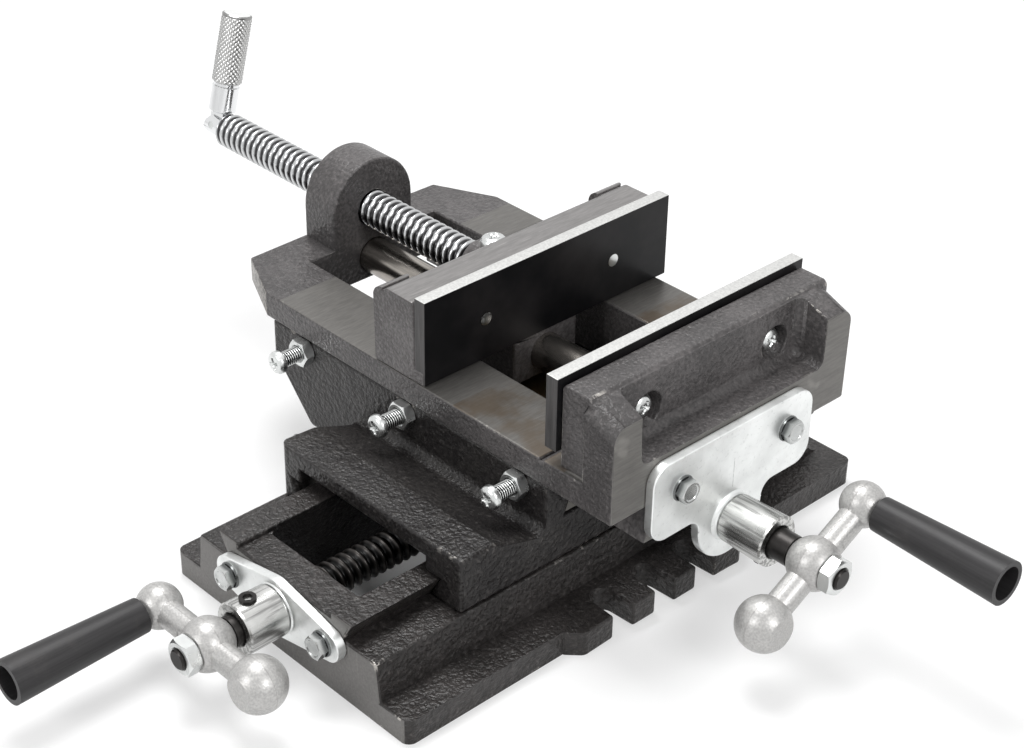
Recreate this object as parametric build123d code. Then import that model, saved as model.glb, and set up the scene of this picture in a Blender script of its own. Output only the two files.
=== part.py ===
from build123d import *
import os
from math import cos, radians, sin, tan

# Cross slide vise in millimetres. +X runs along the lower cross screw away from its crank,
# +Y runs from the fixed jaw to the clamp screw's lug, +Z is up.
# The origin is the centre of the base's bottom face.

# Fits between pieces
run_gap = 0.05
fit_gap = 0.02
screw_gap = 0.05
hole_gap = 0.1

# Base casting
base_length = 184.0
base_width = 104.0
flange_thick = 8.0
tab_length = 8.5
base_foot_half = 40.5
base_top_half = 39.0
shoulder_z = 20.3
rail_foot_half = 25.5
rail_height = 6.9
lower_angle = 60.0
rail_inner_half = 20.4
bridge_drop = 1.5
left_bridge = 11.0
right_bridge = 12.5
end_fillet = 5.0

# Clamping ears with open slots on the base's long sides
ear_x = 2.0
ear_half = 32.6
ear_out = 4.5
slot_width = 8.0
slot_pitch = 17.15
slot_count = 3
slot_seat = 48.0

# Saddle casting
saddle_left = -61.4
saddle_length = 149.8
saddle_front = -38.7
saddle_back = 40.0
shelf_z = 37.9
shelf_left = 12.6
shelf_right = 10.4
valley_z = 30.6
arch_z = 32.0
arch_depth = 14.0
arch_front = -23.7
arch_back = 30.6
floor_z = 35.2
wall_top_z = 47.8
wall_half = 48.0
tail_length = 44.0
tail_thick = 4.0
tail_tip = 13.0
tail_drop = 4.0

# Gibs and their screws
gib_thick = 5.2
gib_end_gap = 0.5
lower_gib_inset = 5.0
gib_screw_d = 5.0
gib_screw_length = 19.0
gib_screw_z = 43.7
upper_gib_screw_y = (-27.5, 20.5, 67.5)
lower_gib_screw_x = (-47.0, 1.5, 78.0)
lower_gib_screw_z = 24.4
lock_nut_af = 8.0
lock_nut_thick = 3.6
pan_head_d = 9.2
pan_head_height = 3.4
pan_head_edge = 1.3

# Vise body
cross_x = 18.6
body_half = 48.5
body_front = -63.5
body_back = 107.0
ways_z = 56.2
slip_gap = 0.05
way_slot_half = 25.8
way_slot_front = -42.4
way_slot_back = 92.0
corner_cut_x = 10.0
corner_cut_y = 21.0
upper_angle = 70.0
slide_foot_half = 35.1
rail_rise = 0.3
band_z = 62.5
bridge_z = 41.5
front_bridge_half = 14.0
relief_y = -36.3
relief_width = 1.4
relief_depth = 1.0

# Jaws
jaw_x = 20.3
plate_width = 100.0
plate_height = 23.2
plate_thick = 4.4
plate_z = 61.0
fixed_face = -37.4
jaw_opening = 49.2
web_half = 48.2
web_thick = 11.2
web_top_z = 82.3
web_edge = 1.2
pillar_width = 10.9
pillar_front_z = 78.2
pillar_slope_length = 8.4
pillar_rise = 3.3
pillar_round = 4.5
pocket_round = 3.0
moving_web_thick = 13.2
moving_depth = 17.9
moving_slab_z = 66.0
moving_pillar_z = 81.8
moving_pillar_round = 4.0
web_notch = 0.9
moving_ledge_inset = 0.2
tongue_half = 13.0
tongue_lead = 4.2
plate_screw_spacing = 52.4
plate_screw_z = 70.0
plate_screw_d = 5.6
plate_head_d = 7.4
plate_head_height = 3.6
plate_bore_d = 10.6
plate_bore_depth = 4.6

# Guide bar under the clamp screw
bar_d = 12.0
bar_z = 49.3
bar_seat = 13.0

# Clamp screw, its lug, the moving jaw's boss and the folding handle
clamp_z = 66.4
lug_z = 67.3
boss_z = 67.5
clamp_d = 12.0
clamp_pitch = 3.0
clamp_thread_end = 169.6
lug_radius = 16.2
boss_radius = 9.3
boss_length = 11.8
spigot_d = 8.0
spigot_length = 20.0
groove_d = 5.4
groove_width = 4.6
retainer_inset = 5.8
retainer_d = 4.0
retainer_head_d = 8.0
retainer_head_height = 3.0
neck_d = 8.0
pivot_offset = 4.6
fork_slot = 4.2
fork_room = 0.4
pivot_d = 2.6
tang_radius = 3.3
handle_tilt = 15.0
handle_d = 9.5
handle_gap = 1.0
grip_start = 15.3
knurl_d = 10.5
handle_length = 39.7

# Lead screws and their bearing brackets
lower_screw_z = 18.0
lower_screw_d = 11.0
lower_screw_end_gap = 3.0
upper_screw_x = 16.2
upper_screw_z = 31.4
upper_screw_d = 8.0
upper_screw_end = 54.0
journal_d = 9.4
bracket_thick = 3.0
bush_d = 16.0
bush_spigot_d = 13.0
lower_bush_length = 14.0
upper_bush_length = 17.6
collar_groove_d = 7.0
collar_groove_width = 3.4
set_screw_d = 5.0
set_screw_tip_d = 3.0
set_screw_proud = 1.8
set_screw_inset = 5.0
rhomb_bolt_half = 20.4
rhomb_end_half = 22.1
rhomb_mid_radius = 9.4
rhomb_end_radius = 5.0
tee_half = 33.0
tee_top_z = 61.0
tee_bottom_z = 36.2
tee_corner = 6.0
tee_inner_corner = 4.4
tee_lobe_radius = 13.2
tee_bolt_half = 19.5
tee_bolt_z = 52.0
bolt_d = 5.0
bolt_grip = 12.0
bolt_af = 7.6
bolt_head_height = 3.6
bolt_flange_d = 9.6
bolt_flange_thick = 1.2

# Lead nuts bolted to the saddle's floor
nut_wall = 2.6
nut_flange_thick = 3.4
nut_flange_out = 6.0
lower_nut_x = -0.8
lower_nut_length = 12.0
lower_nut_half = 8.0
upper_nut_half_length = 11.0
upper_nut_half_width = 6.5

# Cranks and grips
lower_crank_gap = 2.2
upper_crank_gap = 6.4
crank_reach = 22.3
hub_radius = 7.8
hub_back = 6.7
hub_front = 3.8
arm_d = 8.2
grip_ball_radius = 6.7
weight_ball_radius = 8.1
weight_facet = 6.4
grip_ball_flat = 5.9
crank_seat_d = 8.0
crank_nut_af = 13.0
crank_nut_thick = 5.4
crank_stud_proud = 2.6
upper_crank_angle = 28.0
grip_length = 42.0
grip_small_d = 10.4
grip_large_d = 13.2
grip_bore_d = 8.6
grip_floor = 4.0
grip_gap = 0.3
spindle_d = 5.0
spindle_head_d = 7.8
spindle_head_height = 3.0
spindle_depth = 8.0

# Places worked out from the sizes above
half_length = base_length / 2
half_width = base_width / 2
block_right = half_length - tab_length
lower_screw_end = block_right - right_bridge - lower_screw_end_gap
rail_top_z = shoulder_z + rail_height
rail_tip_half = rail_foot_half + rail_height / tan(radians(lower_angle))
saddle_right = saddle_left + saddle_length
slide_height = wall_top_z - floor_z
slide_lean = slide_height / tan(radians(upper_angle))
body_bottom = wall_top_z + slip_gap
tail_end = saddle_back + tail_length
fixed_back = fixed_face - plate_thick
web_back = fixed_back - web_thick
moving_face = fixed_face + jaw_opening
moving_back = moving_face + plate_thick
moving_web_back = moving_back + moving_web_thick
jaw_rear = moving_back + moving_depth
boss_end = moving_web_back + boss_length
pivot_y = clamp_thread_end + pivot_offset
wall_left = cross_x - wall_half
body_plate_front = body_front - bracket_thick
lower_crank_x = -half_length - bracket_thick - lower_bush_length - lower_crank_gap - hub_back
upper_crank_y = body_plate_front - upper_bush_length - upper_crank_gap - hub_back


def block(x0, x1, y0, y1, z0, z1):
    return Pos((x0 + x1) / 2, (y0 + y1) / 2, (z0 + z1) / 2) * Box(x1 - x0, y1 - y0, z1 - z0)


def rod_x(x0, x1, y, z, d):
    return Pos((x0 + x1) / 2, y, z) * Rot(0, 90, 0) * Cylinder(d / 2, x1 - x0)


def rod_y(y0, y1, x, z, d):
    return Pos(x, (y0 + y1) / 2, z) * Rot(90, 0, 0) * Cylinder(d / 2, y1 - y0)


def rod_z(z0, z1, x, y, d):
    return Pos(x, y, (z0 + z1) / 2) * Cylinder(d / 2, z1 - z0)


def prism_x(outline, x0, x1):
    face = Plane.YZ.offset(x0) * Polygon(*outline, align=None)
    return extrude(face, amount=x1 - x0, dir=(1, 0, 0))


def prism_y(outline, y0, y1):
    face = Plane.XZ.offset(-y0) * Polygon(*outline, align=None)
    return extrude(face, amount=y1 - y0, dir=(0, 1, 0))


def prism_z(outline, z0, z1):
    face = Plane.XY.offset(z0) * Polygon(*outline, align=None)
    return extrude(face, amount=z1 - z0, dir=(0, 0, 1))


def hexagon(across_flats, height):
    face = RegularPolygon(across_flats / 2, 6, major_radius=False)
    return extrude(face, amount=height)


def one_piece(shape):
    """Returns the largest solid of a boolean result."""
    return shape.solids().sort_by(SortBy.VOLUME)[-1]


# Base

def ear_outline(side):
    """Plan of the ears' swelling on one side, with a ramp at each end."""
    inner = half_width - end_fillet
    left = ear_x - ear_half
    right = ear_x + ear_half
    return [
        (left - ear_out, side * inner),
        (left - ear_out, side * half_width),
        (left, side * (half_width + ear_out)),
        (right, side * (half_width + ear_out)),
        (right + ear_out, side * half_width),
        (right + ear_out, side * inner),
    ]


def slot_centres():
    return [ear_x + slot_pitch * (i - (slot_count - 1) / 2) for i in range(slot_count)]


def open_slot(x, side):
    reach = half_width + ear_out + 1
    seat = rod_z(-1, flange_thick + 1, x, side * slot_seat, slot_width)
    mouth = Pos(x, side * (slot_seat + reach) / 2, flange_thick / 2) * Box(
        slot_width, reach - slot_seat, flange_thick + 2)
    return seat + mouth


def make_base():
    profile = [
        (-base_foot_half, flange_thick - 1), (-base_foot_half, flange_thick),
        (-base_top_half, shoulder_z), (-rail_foot_half, shoulder_z),
        (-rail_tip_half, rail_top_z), (-rail_inner_half, rail_top_z),
        (-rail_inner_half, rail_top_z - bridge_drop),
        (rail_inner_half, rail_top_z - bridge_drop),
        (rail_inner_half, rail_top_z), (rail_tip_half, rail_top_z),
        (rail_foot_half, shoulder_z), (base_top_half, shoulder_z),
        (base_foot_half, flange_thick), (base_foot_half, flange_thick - 1),
    ]
    flange = block(-half_length, half_length, -half_width, half_width, 0, flange_thick)
    flange = fillet(flange.edges().filter_by(Axis.Z), 3.0)
    for side in (-1, 1):
        ear = prism_z(ear_outline(side), 0, flange_thick)
        outer = ear.edges().filter_by(Axis.Z).filter_by(
            lambda e: abs(e.center().Y) > half_width - 1)
        flange += fillet(outer, 3.2)
    body = flange + prism_x(profile, -half_length, block_right)
    root = body.edges().filter_by(Axis.Y).filter_by(
        lambda e: abs(e.center().X - block_right) < 0.01 and abs(e.center().Z - flange_thick) < 0.01)
    body = fillet(root, end_fillet)
    window = block(-half_length + left_bridge, block_right - right_bridge,
                   -rail_inner_half, rail_inner_half, -1, rail_top_z + 1)
    body -= fillet(window.edges().filter_by(Axis.Z), 2.5)
    for side in (-1, 1):
        for x in slot_centres():
            body -= open_slot(x, side)
    body -= rod_x(-half_length - 1, -half_length + left_bridge + 1, 0, lower_screw_z,
                  max(lower_screw_d, bush_spigot_d) + 2 * hole_gap)
    for side in (-1, 1):
        body -= rod_x(-half_length - 1, -half_length + bolt_grip + 1, side * rhomb_bolt_half,
                      lower_screw_z, bolt_d + 2 * screw_gap)
    return one_piece(body)


# Saddle

def saddle_wall_inner(side, z):
    """Half width of the saddle's upper dovetail at height z, from the slide's centre."""
    extra = gib_thick + run_gap if side < 0 else 0.0
    return slide_foot_half + run_gap + extra - (z - floor_z) / tan(radians(upper_angle))


def lower_recess():
    """Female dovetail along X: it runs on the base's rails and leaves room for the gib."""
    lean = (rail_top_z + rail_rise - shoulder_z) / tan(radians(lower_angle))
    front = rail_foot_half + run_gap
    back = rail_foot_half + 2 * run_gap + gib_thick
    top = rail_top_z + rail_rise
    below = 1.0 / tan(radians(lower_angle))
    outline = [
        (-front + below, shoulder_z - 1), (-front - lean, top), (back + lean, top),
        (back - below, shoulder_z - 1),
    ]
    recess = prism_x(outline, saddle_left - 1, saddle_right + 1)
    for x0, x1 in ((saddle_left - 1, saddle_left + arch_depth),
                   (saddle_right - arch_depth, saddle_right + 1)):
        recess += block(x0, x1, arch_front, arch_back, top - 1, arch_z)
    return recess


def upper_recess():
    return [
        (cross_x - saddle_wall_inner(-1, wall_top_z + 1), wall_top_z + 1),
        (cross_x - saddle_wall_inner(-1, floor_z), floor_z),
        (cross_x + saddle_wall_inner(1, floor_z), floor_z),
        (cross_x + saddle_wall_inner(1, wall_top_z + 1), wall_top_z + 1),
    ]


def saddle_tail():
    """Overhang behind the lower slide: two side ribs with a sloping underside and the floor."""
    rib = [
        (saddle_back - 1, wall_top_z), (tail_end, wall_top_z), (tail_end, wall_top_z - tail_tip),
        (tail_end - tail_tip - tail_drop, shoulder_z - tail_drop),
        (saddle_back + tail_drop, shoulder_z - tail_drop), (saddle_back, shoulder_z + 0.1),
        (saddle_back - 1, shoulder_z + 0.1),
    ]
    inner = saddle_wall_inner(-1, floor_z)
    left = prism_x(rib, wall_left, cross_x - inner)
    right = prism_x(rib, cross_x + saddle_wall_inner(1, floor_z), cross_x + wall_half - 1)
    deck = block(wall_left + 1, cross_x + wall_half - 2, saddle_back - 1, tail_end,
                 floor_z - tail_thick, wall_top_z)
    return left + right + deck


def make_saddle():
    bottom = shoulder_z + slip_gap
    left_slope = saddle_left + shelf_left
    right_slope = saddle_right - shelf_right
    wall_right = cross_x + wall_half - 1
    section = [
        (saddle_left, bottom), (saddle_right, bottom), (saddle_right, shelf_z),
        (right_slope, shelf_z), (wall_right, valley_z), (wall_right, wall_top_z),
        (wall_left, wall_top_z), (wall_left, valley_z), (left_slope, shelf_z),
        (saddle_left, shelf_z),
    ]
    body = prism_y(section, saddle_front, saddle_back)
    rear_corners = body.edges().filter_by(Axis.Z).filter_by(
        lambda e: abs(e.center().Y - saddle_back) < 0.01
        and min(abs(e.center().X - saddle_left), abs(e.center().X - saddle_right)) < 0.01)
    body = fillet(rear_corners, 3.0)
    valleys = body.edges().filter_by(Axis.Y).filter_by(lambda e: abs(e.center().Z - valley_z) < 0.01)
    body = fillet(valleys, 3.5)
    body += saddle_tail()
    body -= lower_recess()
    body -= prism_y(upper_recess(), saddle_front - 1, tail_end + 1)
    body -= rod_y(saddle_front - 1, tail_end + 1, upper_screw_x, upper_screw_z,
                  upper_screw_d + 4.0)
    nut_x0 = lower_nut_x - lower_nut_length / 2
    nut_x1 = lower_nut_x + lower_nut_length / 2
    body -= block(nut_x0 - hole_gap, nut_x1 + hole_gap, -lower_nut_half - hole_gap,
                  lower_nut_half + hole_gap, rail_top_z, floor_z + 1)
    body -= block(upper_screw_x - upper_nut_half_width - hole_gap,
                  upper_screw_x + upper_nut_half_width + hole_gap,
                  -upper_nut_half_length - hole_gap, upper_nut_half_length + hole_gap,
                  rail_top_z, floor_z + 1)
    for y in upper_gib_screw_y:
        body -= rod_x(wall_left - 1, cross_x - slide_foot_half, y, gib_screw_z,
                      gib_screw_d + 2 * screw_gap)
    for x in lower_gib_screw_x:
        body -= rod_y(rail_foot_half + gib_thick, saddle_back + 1, x, lower_gib_screw_z,
                      gib_screw_d + 2 * screw_gap)
    return one_piece(body)


# Gibs with their set screws

def gib_face_x(z):
    """Outer face of the upper gib at height z."""
    return cross_x - saddle_wall_inner(-1, z) + run_gap / 2


def make_upper_gib():
    low = floor_z + gib_end_gap
    high = wall_top_z - gib_end_gap
    width = gib_thick
    outline = [
        (gib_face_x(low), low), (gib_face_x(low) + width, low),
        (gib_face_x(high) + width, high), (gib_face_x(high), high),
    ]
    return one_piece(prism_y(outline, saddle_front + gib_end_gap, tail_end - gib_end_gap))


def lower_gib_face(z):
    """Outer face of the lower gib at height z."""
    lean = (z - shoulder_z) / tan(radians(lower_angle))
    return rail_foot_half + gib_thick + 1.5 * run_gap + lean


def make_lower_gib():
    low = shoulder_z + gib_end_gap
    high = rail_top_z - gib_end_gap / 2
    outline = [
        (lower_gib_face(low), low), (lower_gib_face(high), high),
        (lower_gib_face(high) - gib_thick, high), (lower_gib_face(low) - gib_thick, low),
    ]
    return one_piece(prism_x(outline, saddle_left + lower_gib_inset,
                             saddle_right - lower_gib_inset))


def gib_screw():
    """Pan head screw along +Z with its tip at the origin, cross recess in the head."""
    shank = Pos(0, 0, -gib_screw_length / 2) * Cylinder(gib_screw_d / 2, gib_screw_length)
    head = Pos(0, 0, -gib_screw_length - pan_head_height / 2) * Cylinder(
        pan_head_d / 2, pan_head_height)
    head = chamfer(head.edges().filter_by(GeomType.CIRCLE).sort_by(Axis.Z)[0], pan_head_edge)
    recess = Pos(0, 0, -gib_screw_length - pan_head_height) * (
        Box(4.4, 1.1, 3.0) + Box(1.1, 4.4, 3.0))
    return shank + head - recess


def lock_nut():
    body = hexagon(lock_nut_af, lock_nut_thick)
    return body - Cylinder(gib_screw_d / 2 + screw_gap, 3 * lock_nut_thick)


def upper_gib_screw_place(y):
    tip = gib_face_x(gib_screw_z - gib_screw_d / 2)
    return Plane(origin=(tip - run_gap, y, gib_screw_z), x_dir=(0, 1, 0), z_dir=(1, 0, 0))


def lower_gib_screw_place(x):
    tip = lower_gib_face(lower_gib_screw_z + gib_screw_d / 2)
    return Plane(origin=(x, tip + run_gap, lower_gib_screw_z), x_dir=(1, 0, 0), z_dir=(0, -1, 0))


def make_upper_gib_screws():
    return [one_piece(upper_gib_screw_place(y).location * gib_screw()) for y in upper_gib_screw_y]


def make_lower_gib_screws():
    return [one_piece(lower_gib_screw_place(x).location * gib_screw()) for x in lower_gib_screw_x]


def make_upper_lock_nuts():
    places = [
        Plane(origin=(wall_left, y, gib_screw_z), x_dir=(0, 1, 0), z_dir=(-1, 0, 0))
        for y in upper_gib_screw_y
    ]
    return [one_piece(p.location * lock_nut()) for p in places]


def make_lower_lock_nuts():
    places = [
        Plane(origin=(x, saddle_back, lower_gib_screw_z), x_dir=(1, 0, 0), z_dir=(0, 1, 0))
        for x in lower_gib_screw_x
    ]
    return [one_piece(p.location * lock_nut()) for p in places]


# Vise body

def slide_rail(side):
    """Male dovetail rail under one way."""
    low = floor_z + rail_rise
    foot = slide_foot_half - (low - floor_z) / tan(radians(upper_angle))
    neck = slide_foot_half - (body_bottom + 1 - floor_z) / tan(radians(upper_angle))
    outline = [
        (cross_x + side * way_slot_half, low), (cross_x + side * foot, low),
        (cross_x + side * neck, body_bottom + 1), (cross_x + side * way_slot_half, body_bottom + 1),
    ]
    return prism_y(outline, body_front, body_back - corner_cut_y / 2)


def fixed_front(left, right):
    """Ledge and end pillars in front of the fixed jaw's web, about one rounded pocket."""
    top = pillar_front_z + pillar_rise
    outline = [
        (body_front, body_bottom + 1), (body_front, pillar_front_z),
        (body_front + pillar_slope_length, top), (web_back + 1, top),
        (web_back + 1, body_bottom + 1),
    ]
    mass = prism_x(outline, left, right)
    shoulders = mass.edges().filter_by(
        lambda e: min(abs(e.center().X - left), abs(e.center().X - right)) < 0.01
        and e.center().Z > pillar_front_z)
    mass = fillet(shoulders, pillar_round)
    pocket = block(left + pillar_width, right - pillar_width, body_front - 20, web_back,
                   band_z, top + 20)
    low = pocket.edges().filter_by(lambda e: abs(e.center().Z - band_z) < 0.01)
    corners = pocket.edges().filter_by(Axis.Z).filter_by(lambda e: e.center().Y > web_back - 1)
    return mass - fillet(low + corners, pocket_round)


def lug():
    plate = block(cross_x - lug_radius, cross_x + lug_radius, way_slot_back, body_back,
                  ways_z - 1, lug_z)
    return plate + rod_y(way_slot_back, body_back, cross_x, lug_z, 2 * lug_radius)


def make_body():
    left = cross_x - body_half
    right = cross_x + body_half
    plan = [
        (left, body_front), (right, body_front), (right, body_back - corner_cut_y),
        (right - corner_cut_x, body_back), (left + corner_cut_x, body_back),
        (left, body_back - corner_cut_y),
    ]
    body = prism_z(plan, body_bottom, ways_z)
    body -= block(cross_x - way_slot_half, cross_x + way_slot_half, way_slot_front,
                  way_slot_back, body_bottom - 1, ways_z + 1)
    for side in (-1, 1):
        body += slide_rail(side)
    body += block(cross_x - way_slot_half - 1, cross_x + way_slot_half + 1, way_slot_back,
                  body_back, bridge_z, ways_z)
    body += block(cross_x - front_bridge_half, cross_x + front_bridge_half, body_front,
                  way_slot_front, bridge_z, ways_z)
    body += fixed_front(left, right)
    web = block(jaw_x - web_half, jaw_x + web_half, web_back, fixed_back, ways_z - 1, web_top_z)
    edges = web.edges().filter_by(Axis.X).filter_by(lambda e: e.center().Z > web_top_z - 1)
    web = chamfer(edges, web_edge)
    body += web
    lug_body = lug()
    crown = lug_body.edges().filter_by(GeomType.CIRCLE)
    body += fillet(crown, 0.8)
    body -= block(left - 1, right + 1, relief_y - relief_width / 2, relief_y + relief_width / 2,
                  ways_z - relief_depth, ways_z + 0.5)
    body -= rod_y(way_slot_back - 1, body_back + 1, cross_x, clamp_z, clamp_d + 2 * screw_gap)
    body -= rod_y(way_slot_back - 1, body_back + 1, cross_x, bar_z, bar_d + 2 * fit_gap)
    body -= rod_y(way_slot_front - bar_seat, way_slot_front + 1, cross_x, bar_z,
                  bar_d + 2 * fit_gap)
    for side in (-1, 1):
        x = jaw_x + side * plate_screw_spacing / 2
        body -= rod_y(web_back - 1, fixed_back + 1, x, plate_screw_z, plate_screw_d + 2 * screw_gap)
        body -= rod_y(web_back - 1, web_back + plate_bore_depth, x, plate_screw_z, plate_bore_d)
        body -= rod_y(body_front - 1, body_front + bolt_grip, upper_screw_x + side * tee_bolt_half,
                      tee_bolt_z, bolt_d + 2 * screw_gap)
    return one_piece(body)


# Jaw plates and their screws

def jaw_plate(y_front, y_back):
    low, high = sorted((y_front, y_back))
    plate = block(jaw_x - plate_width / 2, jaw_x + plate_width / 2, low, high,
                  plate_z, plate_z + plate_height)
    for side in (-1, 1):
        plate -= rod_y(low - 1, high + 1, jaw_x + side * plate_screw_spacing / 2,
                       plate_screw_z, plate_screw_d + 2 * screw_gap)
    return plate


def make_fixed_plate():
    return one_piece(jaw_plate(fixed_face, fixed_back))


def make_moving_plate():
    return one_piece(jaw_plate(moving_face, moving_back))


def plate_screw(length):
    """Screw along +Z: head at the origin side, plain end at the far side."""
    shank = Pos(0, 0, length / 2) * Cylinder(plate_screw_d / 2, length)
    head = Pos(0, 0, plate_head_height / 2) * Cylinder(plate_head_d / 2, plate_head_height)
    recess = Box(3.8, 1.0, 3.2) + Box(1.0, 3.8, 3.2)
    return shank + head - recess


def make_plate_screws(seat_y, face_y):
    way = 1 if face_y > seat_y else -1
    reach = abs(face_y - seat_y) + plate_head_height - 0.3
    screws = []
    for side in (-1, 1):
        place = Plane(origin=(jaw_x + side * plate_screw_spacing / 2,
                              seat_y - way * plate_head_height, plate_screw_z),
                      x_dir=(1, 0, 0), z_dir=(0, way, 0))
        screws.append(one_piece(place.location * plate_screw(reach)))
    return screws


# Moving jaw

def moving_pillar(x0, x1):
    """End pillar behind the web: rounded at the rear, with a narrow notch at the web."""
    pillar = block(x0, x1, moving_web_back - 1, jaw_rear, moving_slab_z - 1, moving_pillar_z)
    rear = pillar.edges().filter_by(Axis.X).filter_by(
        lambda e: e.center().Y > jaw_rear - 0.1 and e.center().Z > moving_pillar_z - 0.1)
    pillar = fillet(rear, moving_pillar_round)
    return pillar - block(x0 - 1, x1 + 1, moving_web_back, moving_web_back + web_notch,
                          moving_pillar_z - web_notch, moving_pillar_z + 1)


def make_moving_jaw():
    left = cross_x - body_half + 0.1
    right = jaw_x + web_half
    bottom = ways_z + slip_gap
    jaw = block(left, right, moving_back, jaw_rear, bottom, moving_slab_z)
    web = block(left, right, moving_back, moving_web_back, bottom, web_top_z)
    edges = web.edges().filter_by(Axis.X).filter_by(lambda e: e.center().Z > web_top_z - 1)
    jaw += chamfer(edges, web_edge)
    jaw += moving_pillar(left, left + pillar_width)
    jaw += moving_pillar(right - pillar_width, right)
    jaw += block(left, right, moving_face + moving_ledge_inset, moving_back + 1, bottom, plate_z)
    jaw += block(cross_x - tongue_half, cross_x + tongue_half, moving_back - tongue_lead,
                 jaw_rear, bridge_z, bottom)
    boss = rod_y(moving_web_back - 1, boss_end, cross_x, boss_z, 2 * boss_radius)
    boss += block(cross_x - boss_radius, cross_x + boss_radius, moving_web_back - 1, boss_end,
                  bottom, boss_z)
    jaw += boss
    jaw -= rod_y(moving_back - tongue_lead - 1, jaw_rear + 1, cross_x, bar_z,
                 bar_d + 2 * run_gap)
    jaw -= rod_y(boss_end - spigot_length - 0.5, boss_end + 1, cross_x, clamp_z,
                 spigot_d + 2 * run_gap)
    jaw -= rod_z(clamp_z, boss_z + boss_radius + 1, cross_x, boss_end - retainer_inset,
                 retainer_d + 2 * screw_gap)
    jaw -= block(cross_x - boss_radius, cross_x + boss_radius,
                 boss_end - retainer_inset - retainer_head_d / 2 - 0.4, boss_end + 1,
                 boss_z + boss_radius - 0.8, boss_z + boss_radius + 1)
    for side in (-1, 1):
        x = jaw_x + side * plate_screw_spacing / 2
        jaw -= rod_y(moving_back - 1, moving_web_back + 1, x, plate_screw_z,
                     plate_screw_d + 2 * screw_gap)
        jaw -= rod_y(moving_web_back - plate_bore_depth, jaw_rear + 1, x, plate_screw_z,
                     plate_bore_d)
    return one_piece(jaw)


def make_retainer():
    """Pan head screw from above whose tip runs in the clamp screw's groove."""
    seat = boss_z + boss_radius - 0.8
    tip = clamp_z + groove_d / 2 + run_gap
    y = boss_end - retainer_inset
    shank = rod_z(tip, seat + 0.1, cross_x, y, retainer_d)
    head = rod_z(seat, seat + retainer_head_height, cross_x, y, retainer_head_d)
    head = chamfer(head.edges().filter_by(GeomType.CIRCLE).sort_by(Axis.Z)[-1], pan_head_edge)
    top = seat + retainer_head_height
    recess = Pos(cross_x, y, top) * (Box(3.6, 1.0, 3.0) + Box(1.0, 3.6, 3.0))
    return one_piece(shank + head - recess)


def make_guide_bar():
    return one_piece(rod_y(way_slot_front - bar_seat + 0.5, body_back, cross_x, bar_z, bar_d))


# Clamp screw and folding handle, both turned by the handle's tilt about the screw axis

def tilted(shape):
    pivot = Pos(cross_x, pivot_y, clamp_z)
    return pivot * Rot(0, handle_tilt, 0) * shape


def make_clamp_screw():
    thread = rod_y(boss_end + 0.3, clamp_thread_end, cross_x, clamp_z, clamp_d)
    thread = chamfer(thread.edges().filter_by(GeomType.CIRCLE), 1.0)
    spigot = rod_y(boss_end - spigot_length, boss_end + 1.5, cross_x, clamp_z, spigot_d)
    groove_y = boss_end - retainer_inset
    ring = rod_y(groove_y - groove_width / 2, groove_y + groove_width / 2, cross_x, clamp_z,
                 spigot_d + 1)
    ring -= rod_y(groove_y - groove_width, groove_y + groove_width, cross_x, clamp_z, groove_d)
    neck_radius = neck_d / 2
    neck = rod_y(clamp_thread_end - 1, pivot_y, cross_x, clamp_z, neck_d)
    tip = rod_x(cross_x - neck_radius, cross_x + neck_radius, pivot_y, clamp_z, neck_d)
    tip &= rod_y(pivot_y - neck_d, pivot_y + neck_d, cross_x, clamp_z, neck_d)
    reach = tang_radius + fork_room
    slot = Pos(0, (neck_d - reach) / 2, 0) * Box(fork_slot, neck_d + reach, 2 * neck_d)
    hole = Rot(0, 90, 0) * Cylinder(pivot_d / 2 + fit_gap, 3 * neck_d)
    return one_piece(thread + (spigot - ring) + neck + tip - tilted(slot) - tilted(hole))


def make_handle_pin():
    length = neck_d - 0.4
    return one_piece(tilted(Rot(0, 90, 0) * Cylinder(pivot_d / 2, length)))


def make_handle():
    thick = fork_slot - 2 * run_gap
    start = neck_d / 2 + handle_gap
    tang = Rot(0, 90, 0) * Cylinder(tang_radius, thick)
    tang += Pos(0, 0, start / 2 + 0.5) * Box(thick, 2 * tang_radius, start + 1)
    shaft = Pos(0, 0, (start + grip_start) / 2 + 0.5) * Cylinder(
        handle_d / 2, grip_start - start + 1)
    shaft = chamfer(shaft.edges().filter_by(GeomType.CIRCLE).sort_by(Axis.Z)[0], 0.6)
    grip = Pos(0, 0, (grip_start + handle_length) / 2) * Cylinder(
        knurl_d / 2, handle_length - grip_start)
    grip = chamfer(grip.edges().filter_by(GeomType.CIRCLE), 0.8)
    hole = Rot(0, 90, 0) * Cylinder(pivot_d / 2 + run_gap, 2 * thick)
    return one_piece(tilted(tang + shaft + grip - hole))


# Bearing brackets

def lower_place(x):
    """Frame of the lower screw: local Z points out at the crank, local Y up."""
    return Plane(origin=(x, 0, lower_screw_z), x_dir=(0, -1, 0), z_dir=(-1, 0, 0))


def upper_place(y):
    """Frame of the upper screw: local Z points out at the crank, local Y up."""
    return Plane(origin=(upper_screw_x, y, upper_screw_z), x_dir=(1, 0, 0), z_dir=(0, -1, 0))


def make_lower_bracket():
    ends = [Pos(side * rhomb_end_half, 0) * Circle(rhomb_end_radius) for side in (-1, 1)]
    rings = ends[0].edges() + ends[1].edges() + Circle(rhomb_mid_radius).edges()
    plate = extrude(make_hull(rings), amount=bracket_thick)
    plate -= Cylinder(bush_spigot_d / 2 + fit_gap, 4 * bracket_thick)
    for side in (-1, 1):
        plate -= Pos(side * rhomb_bolt_half, 0) * Cylinder(
            bolt_d / 2 + screw_gap, 4 * bracket_thick)
    return one_piece(lower_place(-half_length).location * plate)


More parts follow.
